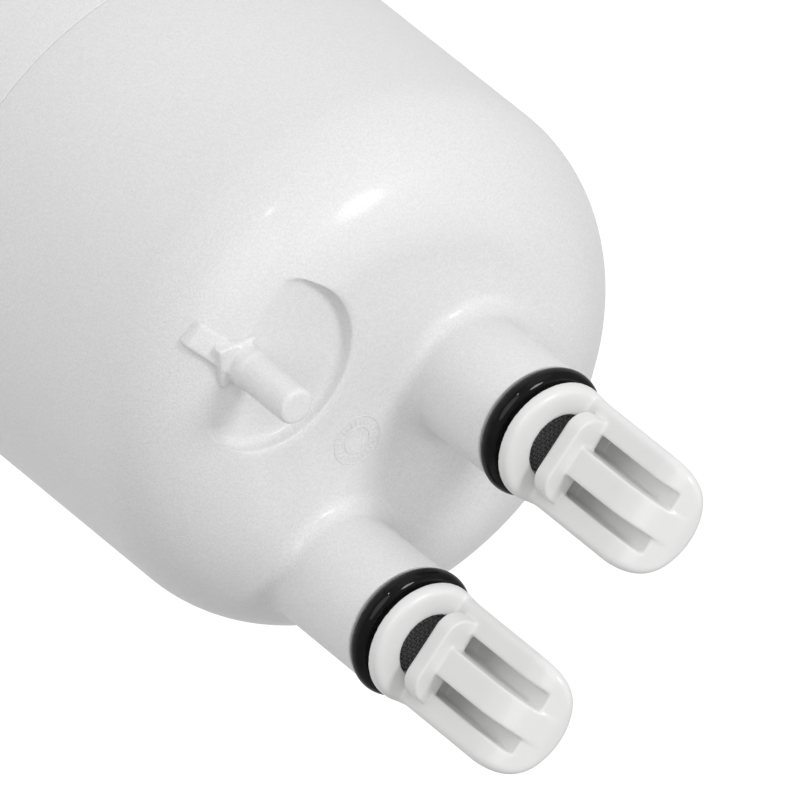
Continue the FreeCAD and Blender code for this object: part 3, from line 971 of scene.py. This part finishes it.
@dataclass
class HeadCap:
    """Front shell: barrel, rounded shoulder, end face, recess and the two port tubes."""

    ports: list[Port]
    radius: float = 31.75
    shoulder: float = 12.7
    end_face: float = 207.0
    seam: float = 163.0
    seam_round: float = 0.22
    wall: float = 3.0
    end_wall: float = 3.2
    lap_radius: float = 30.25
    lap_height: float = 5.0
    tube_radius: float = 7.18
    tube_top: float = 219.9
    tube_edge: float = 0.2
    foot_round: float = 2.0
    plug_hole: float = 5.1
    plug_depth: float = 9.1
    recess_centre: Point = (2.9, -20.6)
    recess_radius: float = 10.1
    recess_depth: float = 1.7
    recess_round: float = 1.0
    recess_lip: float = 0.4
    meeting_softness: float = 0.10
    meeting_spread: float = 8.0
    barrel_rings: Point = (6.0, 18.0)
    field_reach: float = 28.8
    field_step: float = 0.62
    field_gap: float = 0.3
    rim_gap: float = 0.4
    foot_gap: float = 0.25
    lip_rings: Point = (0.25, 0.6)
    lip_gap: float = 0.9
    full_reach: float = 6.0
    fine_reach: float = 7.0
    steps: int = 320
    tube_steps: int = 160
    foot_steps: int = 10
    recess_steps: int = 176

    def dome(self, x: np.ndarray, y: np.ndarray) -> np.ndarray:
        """Return the height of the plain shoulder and end face."""
        out = np.maximum(np.hypot(x, y) - (self.radius - self.shoulder), 0.0)
        drop = self.shoulder - np.sqrt(np.maximum(self.shoulder ** 2 - out ** 2, 0.0))
        return self.end_face - drop

    def recess_profile(self) -> list[Point]:
        """Return the recess from its middle to its lip, as (reach, height)."""
        floor = self.end_face - self.recess_depth
        side = self.recess_radius
        sweep = arc((side - self.recess_round, floor + self.recess_round), self.recess_round,
                    -90, -4, 7)
        lip = arc((side + self.recess_lip, self.end_face - self.recess_lip), self.recess_lip,
                  176, 90, 5)
        return sweep + lip

    def surface(self, x: np.ndarray, y: np.ndarray) -> np.ndarray:
        """Return the height of the outside, with the recess sunk into it."""
        reach = np.hypot(x - self.recess_centre[0], y - self.recess_centre[1])
        profile = self.recess_profile()
        tool = np.interp(reach, [p[0] for p in profile], [p[1] for p in profile])
        beyond = reach > profile[-1][0]
        dome = self.dome(x, y)
        soft = self.meeting_softness
        gap = np.clip((tool - dome) / soft, -5 * self.meeting_spread, 5 * self.meeting_spread)
        far = soft * np.log1p(np.exp(-self.meeting_spread))
        sunk = dome - soft * np.log1p(np.exp(-gap)) + far
        return np.where(beyond, dome, np.minimum(sunk, dome))

    def foot_rings(self, port: Port) -> list[np.ndarray]:
        """Return rings from a tube's foot on the shoulder up to the tube's wall."""
        ball, flare = self.foot_round, self.tube_radius + self.foot_round
        around = circle(flare, 0.0, self.tube_steps, port.centre)
        x, y = around[:, 0], around[:, 1]
        spread = np.maximum(np.hypot(x, y), 1e-6)
        out = np.maximum(spread - (self.radius - self.shoulder), 0.0)
        bigger = self.shoulder + ball
        rise = np.sqrt(bigger ** 2 - out ** 2)
        around[:, 2] = self.end_face - self.shoulder + rise
        outward = np.stack([x / spread * out / bigger, y / spread * out / bigger, rise / bigger], 1)
        inward = np.zeros_like(around)
        inward[:, :2] = (np.array(port.centre) - around[:, :2]) / flare
        rings = []
        for share in np.linspace(0.0, 1.0, self.foot_steps):
            turn = (1 - share) * -outward + share * inward
            turn /= np.linalg.norm(turn, axis=1, keepdims=True)
            rings.append(around + turn * ball)
        return rings

    def field_points(self) -> list[Point]:
        """Spread points over the end face and shoulder, denser round the recess."""
        loose = [(0.0, 0.0)]
        recess = self.recess_profile()
        reaches = list(np.arange(self.field_step, recess[0][0] - self.field_gap, self.field_step))
        reaches += [reach for reach, _ in recess]
        last = reaches[-1]
        reaches += [last + more for more in self.lip_rings]
        for reach in reaches:
            steps = self.recess_steps
            if reach <= self.full_reach:
                steps = max(12, int(self.recess_steps * reach / self.fine_reach))
            loose += [(x, y) for x, y, _ in circle(reach, 0.0, steps, self.recess_centre)
                      if math.hypot(x, y) < self.field_reach - self.rim_gap]
        for reach in np.arange(self.field_step, self.field_reach - self.field_gap, self.field_step):
            steps = max(8, int(2 * math.pi * reach / self.field_step))
            loose += [(x, y) for x, y, _ in circle(reach, 0.0, steps)
                      if math.dist((x, y), self.recess_centre) > last + self.lip_gap]
        return [point for point in loose if self.is_clear(point)]

    def is_clear(self, point: Point) -> bool:
        """Say whether a point keeps off the feet of the port tubes."""
        flare = self.tube_radius + self.foot_round
        return all(math.dist(point, port.centre) >= flare + self.foot_gap for port in self.ports)

    def build(self) -> bpy.types.Mesh:
        """Build the whole shell as one closed skin."""
        skin = Skin()
        feet = [self.foot_rings(port) for port in self.ports]
        rims = [rings[0] for rings in feet]
        rim = circle(self.field_reach, 0.0, self.steps)
        plan, skin.faces = triangulated(rim, rims, self.field_points())
        heights = self.surface(plan[:, 0], plan[:, 1])
        foot_heights = {(round(p[0], 4), round(p[1], 4)): p[2] for ring in rims for p in ring}
        for number, (x, y) in enumerate(plan):
            heights[number] = foot_heights.get((round(x, 4), round(y, 4)), heights[number])
        skin.add_points(np.column_stack([plan, heights]))
        for port, rings in zip(self.ports, feet):
            self.add_tube(skin, port, rings)
        self.add_barrel(skin)
        return skin.mesh("head_cap_shell")

    def add_tube(self, skin: Skin, port: Port, foot: list[np.ndarray]) -> None:
        """Carry a port's foot up into its tube and down its plug hole.

        Args:
            skin: the skin to add to.
            port: the port.
            foot: the rings of its foot.
        """
        edge = self.tube_edge
        outline = arc((self.tube_radius - edge, self.tube_top - edge), edge, 0, 90, 4)
        outline += arc((self.plug_hole + edge, self.tube_top - edge), edge, 90, 180, 4)
        outline.append((self.plug_hole, self.tube_top - self.plug_depth))
        rings = [circle(radius, height, self.tube_steps, port.centre) for radius, height in outline]
        numbers = skin.stack(foot + rings)
        skin.cap(numbers[-1], upwards=True)

    def add_barrel(self, skin: Skin) -> None:
        """Add the lower shoulder, the barrel, the lap and the whole inside."""
        middle = self.end_face - self.shoulder
        spread = self.radius - self.shoulder
        first = math.degrees(math.acos((self.field_reach - spread) / self.shoulder))
        outline = arc((spread, middle), self.shoulder, first, 0, 14)
        outline += [(self.radius, middle - down) for down in self.barrel_rings]
        edge = self.seam_round
        outline += arc((self.radius - edge, self.seam + edge), edge, 0, -90, 4)
        inner, inner_round = self.radius - self.wall, self.shoulder - self.wall
        outline += [(self.lap_radius, self.seam), (self.lap_radius, self.seam + self.lap_height)]
        outline += [(inner, self.seam + self.lap_height)]
        ceiling = self.end_face - self.end_wall
        outline += arc((inner - inner_round, ceiling - inner_round), inner_round, 0, 90, 10)
        rings = [circle(radius, height, self.steps) for radius, height in outline]
        numbers = skin.stack(rings)
        skin.cap(numbers[-1], upwards=False)


@dataclass
class KeyPin:
    """Key pin on its wider foot, with its sloping gusset and two low swept webs."""

    centre: Point = (4.2, -23.2)
    floor: float = 205.3
    sink: float = 0.7
    radius: float = 2.15
    height: float = 10.1
    foot_radius: float = 2.36
    foot_height: float = 2.2
    top_round: float = 0.35
    gusset_half: float = 1.6
    gusset_rise: float = 1.8
    gusset_reach: float = 6.0
    gusset_drop: float = 2.6
    gusset_depth: float = 2.0
    web_reach: float = 3.3
    web_rise: float = 0.5
    web_end_front: float = 0.3
    web_end_back: float = 1.1
    web_root_front: float = 2.0
    web_root_back: float = 4.4
    voxel: float = 0.12
    smoothing: int = 55

    def build(self) -> bpy.types.Mesh:
        """Fuse the pin, gusset and webs into one soft-edged moulding."""
        x, y = self.centre
        low, top = self.floor - self.sink, self.floor + self.height
        profile = [(0.0, low), (self.foot_radius, low)]
        profile += [(self.foot_radius, self.floor + self.foot_height),
                    (self.radius, self.floor + self.foot_height)]
        ease = self.top_round
        profile += arc((self.radius - ease, top - ease), ease, 0, 90, 6)
        skin = turned(profile + [(0.0, top)], 128, self.centre)
        lift = self.floor + self.gusset_rise
        side = [(y, low), (y, lift), (y - self.radius / 2, lift),
                (y - self.gusset_reach, self.floor - self.gusset_drop),
                (y - self.gusset_reach, self.floor - self.gusset_drop - self.gusset_depth)]
        self.add_prism(skin, [(x - self.gusset_half, *corner) for corner in side],
                       (2 * self.gusset_half, 0, 0))
        for side in (-1, 1):
            far = x + side * self.web_reach
            web = [(x, y - self.web_root_front), (far, y - self.web_end_front),
                   (far, y - self.web_end_back), (x, y - self.web_root_back)]
            self.add_prism(skin, [(*corner, low) for corner in web],
                           (0, 0, self.sink + self.web_rise))
        return remeshed("key_pin", skin.mesh("key_pin_solids"), self.voxel, self.smoothing)

    @staticmethod
    def add_prism(skin: Skin, corners: list[tuple], move: tuple[float, float, float]) -> None:
        """Add a closed prism.

        Args:
            skin: the skin to add to.
            corners: one end's corners.
            move: the way to the other end.
        """
        first = skin.add_points(corners)
        second = skin.add_points([np.add(corner, move) for corner in corners])
        skin.bridge(first, second)
        skin.faces += [tuple(reversed(first)), tuple(second)]


@dataclass
class Tip:
    """Moulded tip of a port, softened from its frame solid."""

    port: Port
    flange: float = 7.0
    flange_back: float = 1.96
    flange_front: float = 3.43
    flange_round: float = 0.8
    tongue: float = 6.82
    rail_level: float = 0.4
    rail_blend: float = 0.9
    neck: float = 5.1
    bore: float = 3.8
    plug: float = 5.0
    reach: float = 0.03
    voxel: float = 0.155
    smoothing: int = 9

    def build(self) -> bpy.types.Mesh:
        """Remesh the solid finely and round its walls off truly."""
        name = f"{self.port.name}_tip_skin"
        return remeshed(name, merged_copy(f"{self.port.name}_tip"), self.voxel, self.smoothing,
                        self.settle)

    def settle(self, points: np.ndarray) -> np.ndarray:
        """Move the points of each round wall onto its true radius, and round the flange's front."""
        centre = np.array(self.port.centre)
        away = points[:, :2] - centre
        height = points[:, 2] - self.port.seal_height
        spread = np.hypot(away[:, 0], away[:, 1])
        aim = spread.copy()
        for radius in (self.flange, self.tongue, self.neck, self.bore, self.plug):
            aim[np.abs(spread - radius) < self.reach] = radius
        blend = 2 * (self.flange_front - self.flange_back)
        ramp = np.clip((height - self.flange_back) / blend, 0, 1)
        taper = self.flange - (self.flange - self.tongue) * ramp * ramp * (3 - 2 * ramp)
        outer = (spread > self.tongue - self.reach) & (height > self.flange_back)
        aim = np.where(outer & (away[:, 1] > self.rail_level), taper, aim)
        moved = points.copy()
        lean, rise = self.rounded(aim, height, away[:, 1])
        moved[:, :2] = away * (lean / np.maximum(spread, self.reach))[:, None] + centre
        moved[:, 2] = rise + self.port.seal_height
        return moved

    def rounded(self, spread: np.ndarray, height: np.ndarray,
                level: np.ndarray) -> tuple[np.ndarray, np.ndarray]:
        """Ease the flange's front edge where no rail stands on it.

        Args:
            spread: each point's distance from the port's axis.
            height: each point's height above the seal's middle.
            level: each point's Y from the port's axis.

        Returns:
            The eased distances and heights.
        """
        ball_spread = self.flange - self.flange_round
        ball_height = self.flange_front - self.flange_round
        out, up = spread - ball_spread, height - ball_height
        corner = (out > 0) & (up > 0) & (height < self.flange_front + self.reach)
        below = (self.rail_level + self.rail_blend - level) / self.rail_blend
        share = np.clip(below, 0, 1) * corner
        size = np.maximum(np.hypot(out, up), self.reach)
        scale = 1 + share * (np.minimum(self.flange_round / size, 1.0) - 1)
        return (np.where(corner, ball_spread + out * scale, spread),
                np.where(corner, ball_height + up * scale, height))


@dataclass
class PortSeal:
    """Moulded sealing ring with a fine parting line, grown by a node tree."""

    port: Port
    parting: float = 0.035
    around: int = 160
    section: int = 48
    line_section: int = 8

    def build(self, material: bpy.types.Material) -> bpy.types.Mesh:
        """Grow the ring.

        Args:
            material: its finish.

        Returns:
            The mesh.
        """
        wire = self.port.seal_wire / 2
        tree = NodeTree("seal_ring", {
            "Ring radius": (self.port.seal_radius - wire) * MM,
            "Wire radius": wire * MM,
            "Parting radius": self.parting * MM,
            "Around": self.around,
            "Section": self.section,
            "Centre": self.port.above_seal(0.0),
        })
        around, parting = tree.given("Around"), tree.given("Parting radius")
        ring = tree.sweep(tree.ring(around, tree.given("Ring radius")),
                          tree.ring(tree.given("Section"), tree.given("Wire radius")))
        outer = tree.maths("ADD", tree.given("Ring radius"), tree.given("Wire radius"))
        edge = tree.maths("SUBTRACT", outer, parting)
        line = tree.sweep(tree.ring(around, edge), tree.ring(self.line_section, parting))
        moved = tree.moved(tree.join(ring, line), Translation=tree.given("Centre"))
        mesh = tree.grow(f"{self.port.name}_seal_ring", moved, material)
        tidy_mesh(mesh)
        return mesh


@dataclass
class Strainer:
    """Woven strainer across a port's bore, grown by a node tree."""

    port: Port
    radius: float = 3.72
    pitch: float = 0.42
    thread: float = 0.11
    rise: float = 1.9
    points_per_thread: int = 70
    section: int = 8
    disc_points: int = 96
    disc_drop: float = -4.0

    def threads(self, tree: NodeTree, turn: float, sense: float) -> bpy.types.NodeSocket:
        """Lay one set of threads.

        Args:
            tree: the tree to add to.
            turn: the angle that the set is turned by.
            sense: 1 or -1, for which set is on top at the middle.

        Returns:
            The set of threads.
        """
        pitch, radius = tree.given("Pitch"), tree.given("Disc radius")
        thread = tree.given("Thread radius")
        half = tree.maths("CEIL", tree.maths("DIVIDE", radius, pitch))
        count = tree.maths("ADD", tree.product(half, 2.0), 1.0)
        line = tree.row(count, tree.at(Y=tree.product(half, pitch, -1.0)), tree.at(Y=pitch))
        straight = tree.add("GeometryNodeCurvePrimitiveLine", inputs={
            "Start": tree.at(X=tree.product(radius, -1.0)), "End": tree.at(X=radius)})
        fine = tree.add("GeometryNodeResampleCurve", inputs={
            "Curve": straight, "Count": tree.given("Points")})
        real = tree.add("GeometryNodeRealizeInstances",
                        inputs={"Geometry": tree.copies(line, fine)})
        place = tree.add("GeometryNodeInputPosition")
        parts = [tree.add("ShaderNodeSeparateXYZ", inputs={0: place}, output=letter)
                 for letter in "XY"]
        waves = [tree.maths("COSINE", tree.product(tree.maths("DIVIDE", part, pitch), math.pi))
                 for part in parts]
        lift = tree.at(Z=tree.product(*waves, tree.product(thread, sense)))
        woven = tree.add("GeometryNodeSetPosition", inputs={"Geometry": real, "Offset": lift})
        spread = tree.add("ShaderNodeVectorMath", {"operation": "LENGTH"}, {0: place}, "Value")
        outside = tree.maths("GREATER_THAN", spread, radius)
        trimmed = tree.add("GeometryNodeDeleteGeometry", inputs={
            "Geometry": woven, "Selection": outside})
        solid = tree.sweep(trimmed, tree.ring(self.section, thread), capped=True)
        return tree.moved(solid, Rotation=(0.0, 0.0, turn))

    def build(self, material: bpy.types.Material) -> bpy.types.Mesh:
        """Grow the weave and its backing disc.

        Args:
            material: its finish.

        Returns:
            The mesh.
        """
        tree = NodeTree("strainer", {
            "Disc radius": self.radius * MM,
            "Pitch": self.pitch * MM,
            "Thread radius": self.thread * MM,
            "Points": self.points_per_thread,
            "Centre": self.port.above_seal(self.rise),
        })
        sets = [self.threads(tree, 0.0, 1.0), self.threads(tree, math.pi / 2, -1.0)]
        back = tree.add("GeometryNodeMeshCylinder", inputs={
            "Vertices": self.disc_points, "Radius": tree.given("Disc radius"),
            "Depth": tree.given("Thread radius")})
        below = tree.at(Z=tree.product(tree.given("Thread radius"), self.disc_drop))
        back = tree.moved(back, Translation=below)
        moved = tree.moved(tree.join(*sets, back), Translation=tree.given("Centre"))
        mesh = tree.grow(f"{self.port.name}_strainer", moved, material)
        mesh.shade_smooth()
        mesh.set_sharp_from_angle(angle=SHARP_EDGE)
        return mesh


@dataclass
class MouldMark:
    """Faint raised ring of plain ticks on the end face, grown by a node tree."""

    centre: Point = (6.0, -3.7)
    height: float = 207.0
    radius: float = 2.9
    ring: float = 0.10
    tick: float = 0.42
    count: int = 24
    sink: float = 0.04
    inner_rim: float = 0.55
    tick_place: float = 0.78
    section: int = 12
    around: int = 96

    def build(self, material: bpy.types.Material) -> bpy.types.Mesh:
        """Grow the mark.

        Args:
            material: its finish.

        Returns:
            The mesh.
        """
        tree = NodeTree("mould_mark", {
            "Radius": self.radius * MM,
            "Ring": self.ring * MM,
            "Tick": self.tick * MM,
            "Count": self.count,
            "Centre": (self.centre[0] * MM, self.centre[1] * MM, (self.height - self.sink) * MM),
        })
        radius, wire = tree.given("Radius"), tree.given("Ring")
        section = tree.ring(self.section, wire)
        rims = [tree.sweep(tree.ring(self.around, tree.product(radius, share)), section)
                for share in (1.0, self.inner_rim)]
        points = tree.add("GeometryNodeMeshCircle", inputs={
            "Vertices": tree.given("Count"), "Radius": tree.product(radius, self.tick_place)})
        tick = tree.add("GeometryNodeMeshIcoSphere", inputs={"Radius": wire, "Subdivisions": 3})
        long = tree.at(X=tree.maths("DIVIDE", tree.given("Tick"), wire), Y=1.0, Z=1.0)
        face = tree.add("FunctionNodeAlignRotationToVector", {"axis": "X"},
                        {"Vector": tree.add("GeometryNodeInputPosition")})
        ticks = tree.copies(points, tree.moved(tick, Scale=long), Rotation=face)
        moved = tree.moved(tree.join(*rims, ticks), Translation=tree.given("Centre"))
        mesh = tree.grow("mould_mark", moved, material)
        mesh.shade_smooth()
        return mesh


@dataclass
class SumpBody:
    """Middle tube of the housing, with eased edges at both seams."""

    radius: float = 31.75
    wall: float = 3.0
    low: float = 26.0
    high: float = 163.0
    lap: float = 5.0
    lap_radius: float = 30.15
    edge: float = 0.22
    steps: int = 320

    def build(self) -> bpy.types.Mesh:
        """Turn the tube."""
        inner, edge = self.radius - self.wall, self.edge
        outline = [(inner, self.low - self.lap), (self.lap_radius, self.low - self.lap),
                   (self.lap_radius, self.low)]
        outline += arc((self.radius - edge, self.low + edge), edge, -90, 0, 4)
        outline += wall_line(self.radius, self.low, self.high)
        outline += arc((self.radius - edge, self.high - edge), edge, 0, 90, 4)
        outline += [(self.lap_radius, self.high), (self.lap_radius, self.high + self.lap),
                    (inner, self.high + self.lap)]
        return turned(outline, self.steps).mesh("sump_body_tube")


@dataclass
class RearCap:
    """Closed rear end: a rounded foot with a grip bar between two finger recesses."""

    radius: float = 31.75
    seam: float = 26.0
    lap: float = 5.0
    lap_radius: float = 30.25
    wall: float = 3.0
    inner_floor: float = 18.0
    foot_round: float = 3.0
    seam_round: float = 0.22
    recess_radius: float = 28.15
    recess_level: float = 5.0
    recess_depth: float = 15.0
    corner: float = 2.4
    rim_round: float = 0.7
    floor_round: float = 1.6
    steps: int = 320
    outline_steps: int = 160

    def recess_ring(self, inset: float, height: float, side: int) -> np.ndarray:
        """Return the recess's outline, moved inwards.

        Args:
            inset: how far inwards.
            height: the ring's Z.
            side: 1 for the +Y recess and -1 for the other.

        Returns:
            The ring's points, anticlockwise from above.
        """
        corner = max(self.corner - inset, 0.2)
        size, level = self.recess_radius - inset, self.recess_level + inset
        centre_y = level + corner
        centre_x = math.sqrt((size - corner) ** 2 - centre_y ** 2)
        lean = math.degrees(math.atan2(centre_y, centre_x))
        path = [(-centre_x, level), (centre_x, level)]
        path += arc((centre_x, centre_y), corner, -90, lean, 10)[1:]
        path += arc((0.0, 0.0), size, lean, 180 - lean, 60)[1:]
        path += arc((-centre_x, centre_y), corner, 180 - lean, 270, 10)[1:-1]
        ring = even_ring(np.array(path), self.outline_steps)
        if side < 0:
            ring = ring * np.array([-1.0, -1.0])
        return np.column_stack([ring, np.full(len(ring), height)])

    def build(self) -> bpy.types.Mesh:
        """Build the cap as one closed skin."""
        skin = Skin()
        rims = [self.recess_ring(-self.rim_round, 0.0, side) for side in (1, -1)]
        edge = circle(self.radius - self.foot_round, 0.0, self.steps)
        plan, faces = triangulated(edge, rims)
        skin.faces = [face[::-1] for face in faces]
        skin.add_points(np.column_stack([plan, np.zeros(len(plan))]))
        for side in (1, -1):
            self.add_recess(skin, side)
        self.add_wall(skin)
        return skin.mesh("rear_cap_shell")

    def add_recess(self, skin: Skin, side: int) -> None:
        """Sink one finger recess, with a rounded rim and floor.

        Args:
            skin: the skin to add to.
            side: 1 for the +Y recess and -1 for the other.
        """
        rim, deep = self.rim_round, self.recess_depth
        outline = arc((-rim, rim), rim, -90, 0, 5)
        outline += arc((self.floor_round, deep - self.floor_round), self.floor_round, 180, 90, 6)
        numbers = skin.stack([self.recess_ring(inset, height, side) for inset, height in outline])
        skin.cap(numbers[-1], upwards=False)

    def add_wall(self, skin: Skin) -> None:
        """Add the foot's rounding, the wall, the lap and the inside floor."""
        inner, edge = self.radius - self.wall, self.seam_round
        outline = arc((self.radius - self.foot_round, self.foot_round), self.foot_round, -90, 0, 12)
        outline += arc((self.radius - edge, self.seam - edge), edge, 0, 90, 4)
        outline += [(self.lap_radius, self.seam), (self.lap_radius, self.seam - self.lap),
                    (inner, self.seam - self.lap), (inner, self.inner_floor)]
        numbers = skin.stack([circle(radius, height, self.steps) for radius, height in outline])
        skin.cap(numbers[-1], upwards=True)


def even_ring(path: np.ndarray, count: int) -> np.ndarray:
    """Spread points evenly along a closed path.

    Args:
        path: the path's corners.
        count: how many points to return.

    Returns:
        The new points.
    """
    closed = np.vstack([path, path[:1]])
    lengths = np.concatenate([[0.0], np.cumsum(np.hypot(*np.diff(closed, axis=0).T))])
    marks = np.arange(count) * lengths[-1] / count
    return np.column_stack([np.interp(marks, lengths, closed[:, axis]) for axis in (0, 1)])


@dataclass
class GripRibs:
    """Upright ribs on both flanks of the grip bar, grown by a node tree."""

    count: int = 11
    pitch: float = 3.6
    radius: float = 0.45
    low: float = 1.6
    high: float = 13.2
    flank: float = 5.0
    segments: int = 24

    def build(self, material: bpy.types.Material) -> bpy.types.Mesh:
        """Grow the ribs.

        Args:
            material: their finish.

        Returns:
            The mesh.
        """
        tree = NodeTree("grip_ribs", {
            "Count": self.count, "Pitch": self.pitch * MM, "Radius": self.radius * MM,
            "Height": (self.high - self.low) * MM, "Middle": (self.high + self.low) / 2 * MM,
            "Flank": self.flank * MM,
        })
        count, pitch, radius = (tree.given(label) for label in ("Count", "Pitch", "Radius"))
        first = tree.product(tree.maths("SUBTRACT", count, 1.0), pitch, -0.5)
        ball = tree.add("GeometryNodeMeshUVSphere", inputs={
            "Segments": self.segments, "Rings": self.segments // 2, "Radius": radius})
        stretch = tree.maths("DIVIDE", tree.given("Height"), tree.product(radius, 2.0))
        rib = tree.moved(ball, Scale=tree.at(X=1.0, Y=1.0, Z=stretch))
        rows = []
        for side in (1.0, -1.0):
            start = tree.at(X=first, Y=tree.product(tree.given("Flank"), side),
                            Z=tree.given("Middle"))
            rows.append(tree.copies(tree.row(count, start, tree.at(X=pitch)), rib))
        mesh = tree.grow("grip_ribs", tree.join(*rows), material)
        mesh.shade_smooth()
        return mesh


@dataclass
class Label:
    """Plain film label wrapped round the middle tube."""

    radius: float = 31.775
    thickness: float = 0.11
    edge: float = 0.05
    low: float = 42.0
    high: float = 146.0
    steps: int = 320

    def build(self) -> bpy.types.Mesh:
        """Turn the label."""
        outer, edge = self.radius + self.thickness, self.edge
        outline = [(self.radius, self.low), (outer - edge, self.low), (outer, self.low + edge)]
        outline += wall_line(outer, self.low, self.high)
        outline += [(outer, self.high - edge), (outer - edge, self.high), (self.radius, self.high)]
        return turned(outline, self.steps).mesh("label_film")


# ---------------------------------------------------------------- stage


@dataclass(frozen=True)
class Viewpoint:
    """Where the camera stands and how it is turned."""

    azimuth: float = -8.84
    elevation: float = 42.44
    roll: float = 128.92
    distance: float = 2833.0
    lens: float = 1201.8
    clip: Point = (0.1, 50.0)
    aim_height: float = 207.0
    aim_right: float = -0.946
    aim_up: float = 0.369

    def place_camera(self) -> None:
        """Add the camera and make it the scene's own."""
        turn, rise, roll = (math.radians(a) for a in (self.azimuth, self.elevation, self.roll))
        back = Vector((math.sin(turn) * math.cos(rise), -math.cos(turn) * math.cos(rise),
                       math.sin(rise)))
        level = Vector((math.cos(turn), math.sin(turn), 0.0))
        steep = back.cross(level)
        right = level * math.cos(roll) + steep * math.sin(roll)
        up = steep * math.cos(roll) - level * math.sin(roll)
        aim = Vector((0.0, 0.0, self.aim_height)) + right * self.aim_right + up * self.aim_up
        data = bpy.data.cameras.new("camera")
        data.lens = self.lens
        data.clip_start, data.clip_end = self.clip
        camera = bpy.data.objects.new("camera", data)
        turned_axes = Matrix((right, up, back)).transposed().to_4x4()
        turned_axes.translation = (aim + back * self.distance) * MM
        camera.matrix_world = turned_axes
        bpy.context.scene.collection.objects.link(camera)
        bpy.context.scene.camera = camera


@dataclass(frozen=True)
class Lamp:
    """One soft lamp, aimed at the head of the cartridge."""

    name: str
    direction: tuple[float, float, float]
    distance: float
    size: float
    power: float

    def place(self) -> None:
        """Add the lamp."""
        data = bpy.data.lights.new(self.name, "AREA")
        data.shape = "DISK"
        data.size = self.size
        data.energy = self.power
        lamp = bpy.data.objects.new(self.name, data)
        way = Vector(self.direction).normalized()
        lamp.matrix_world = way.to_track_quat("Z", "Y").to_matrix().to_4x4()
        lamp.location = LAMP_AIM + way * self.distance
        bpy.context.scene.collection.objects.link(lamp)


def make_stage() -> None:
    """Add the floor, the surrounding light, the lamps and the camera."""
    floor_mesh = bpy.data.meshes.new("floor")
    corners = [(x * FLOOR_HALF, y * FLOOR_HALF, 0.0)
               for x, y in ((-1, -1), (1, -1), (1, 1), (-1, 1))]
    floor_mesh.from_pydata(corners, [], [(0, 1, 2, 3)])
    floor_mesh.materials.append(PaleFloor("pale floor").material())
    floor = bpy.data.objects.new("floor", floor_mesh)
    bpy.context.scene.collection.objects.link(floor)
    world = bpy.data.worlds.new("studio")
    world.use_nodes = True
    sky = world.node_tree.nodes["Background"].inputs
    sky["Color"].default_value = (1.0, 1.0, 1.0, 1.0)
    sky["Strength"].default_value = WORLD_STRENGTH
    bpy.context.scene.world = world
    for lamp in (
        Lamp("key", (-0.57, -0.13, 0.81), 1.0, 0.28, 3.0),
        Lamp("low", (-0.49, -0.81, 0.32), 1.0, 0.05, 0.4),
        Lamp("top", (-0.2, 0.5, 0.85), 1.6, 1.2, 3.2),
        Lamp("left", (-0.9, -0.35, 0.25), 1.6, 1.2, 1.6),
        Lamp("front", (-0.1, -0.8, 0.6), 1.6, 1.2, 6.6),
    ):
        lamp.place()
    Viewpoint().place_camera()
    bpy.context.scene.view_settings.view_transform = "Standard"


def main() -> None:
    """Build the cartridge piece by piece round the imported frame."""
    logging.basicConfig(level=logging.INFO, format="%(name)s: %(message)s")
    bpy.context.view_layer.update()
    shop = Workshop()
    shop.dress_nodes()
    ports = [Port("outlet"), Port("inlet")]
    shop.place("head_cap_shell", HeadCap(ports).build(), Stuff.HOUSING, "head_cap")
    shop.place("key_pin", KeyPin().build(), Stuff.HOUSING)
    shop.place("sump_body_tube", SumpBody().build(), Stuff.HOUSING, "sump_body")
    shop.place("rear_cap_shell", RearCap().build(), Stuff.HOUSING, "rear_cap")
    shop.place("mould_mark", MouldMark().build(shop.finishes[Stuff.HOUSING]), Stuff.HOUSING)
    shop.place("grip_ribs", GripRibs().build(shop.finishes[Stuff.HOUSING]), Stuff.HOUSING)
    shop.place("label_film", Label().build(), Stuff.LABEL, "label_wrap")
    for port in ports:
        shop.place(f"{port.name}_tip_skin", Tip(port).build(), Stuff.TIP, f"{port.name}_tip")
        shop.place(f"{port.name}_seal_ring", PortSeal(port).build(shop.finishes[Stuff.SEAL]),
                   Stuff.SEAL, f"{port.name}_port_seal")
        shop.place(f"{port.name}_strainer", Strainer(port).build(shop.finishes[Stuff.SCREEN]),
                   Stuff.SCREEN, f"{port.name}_screen")
    make_stage()


if __name__ == "__main__":
    main()
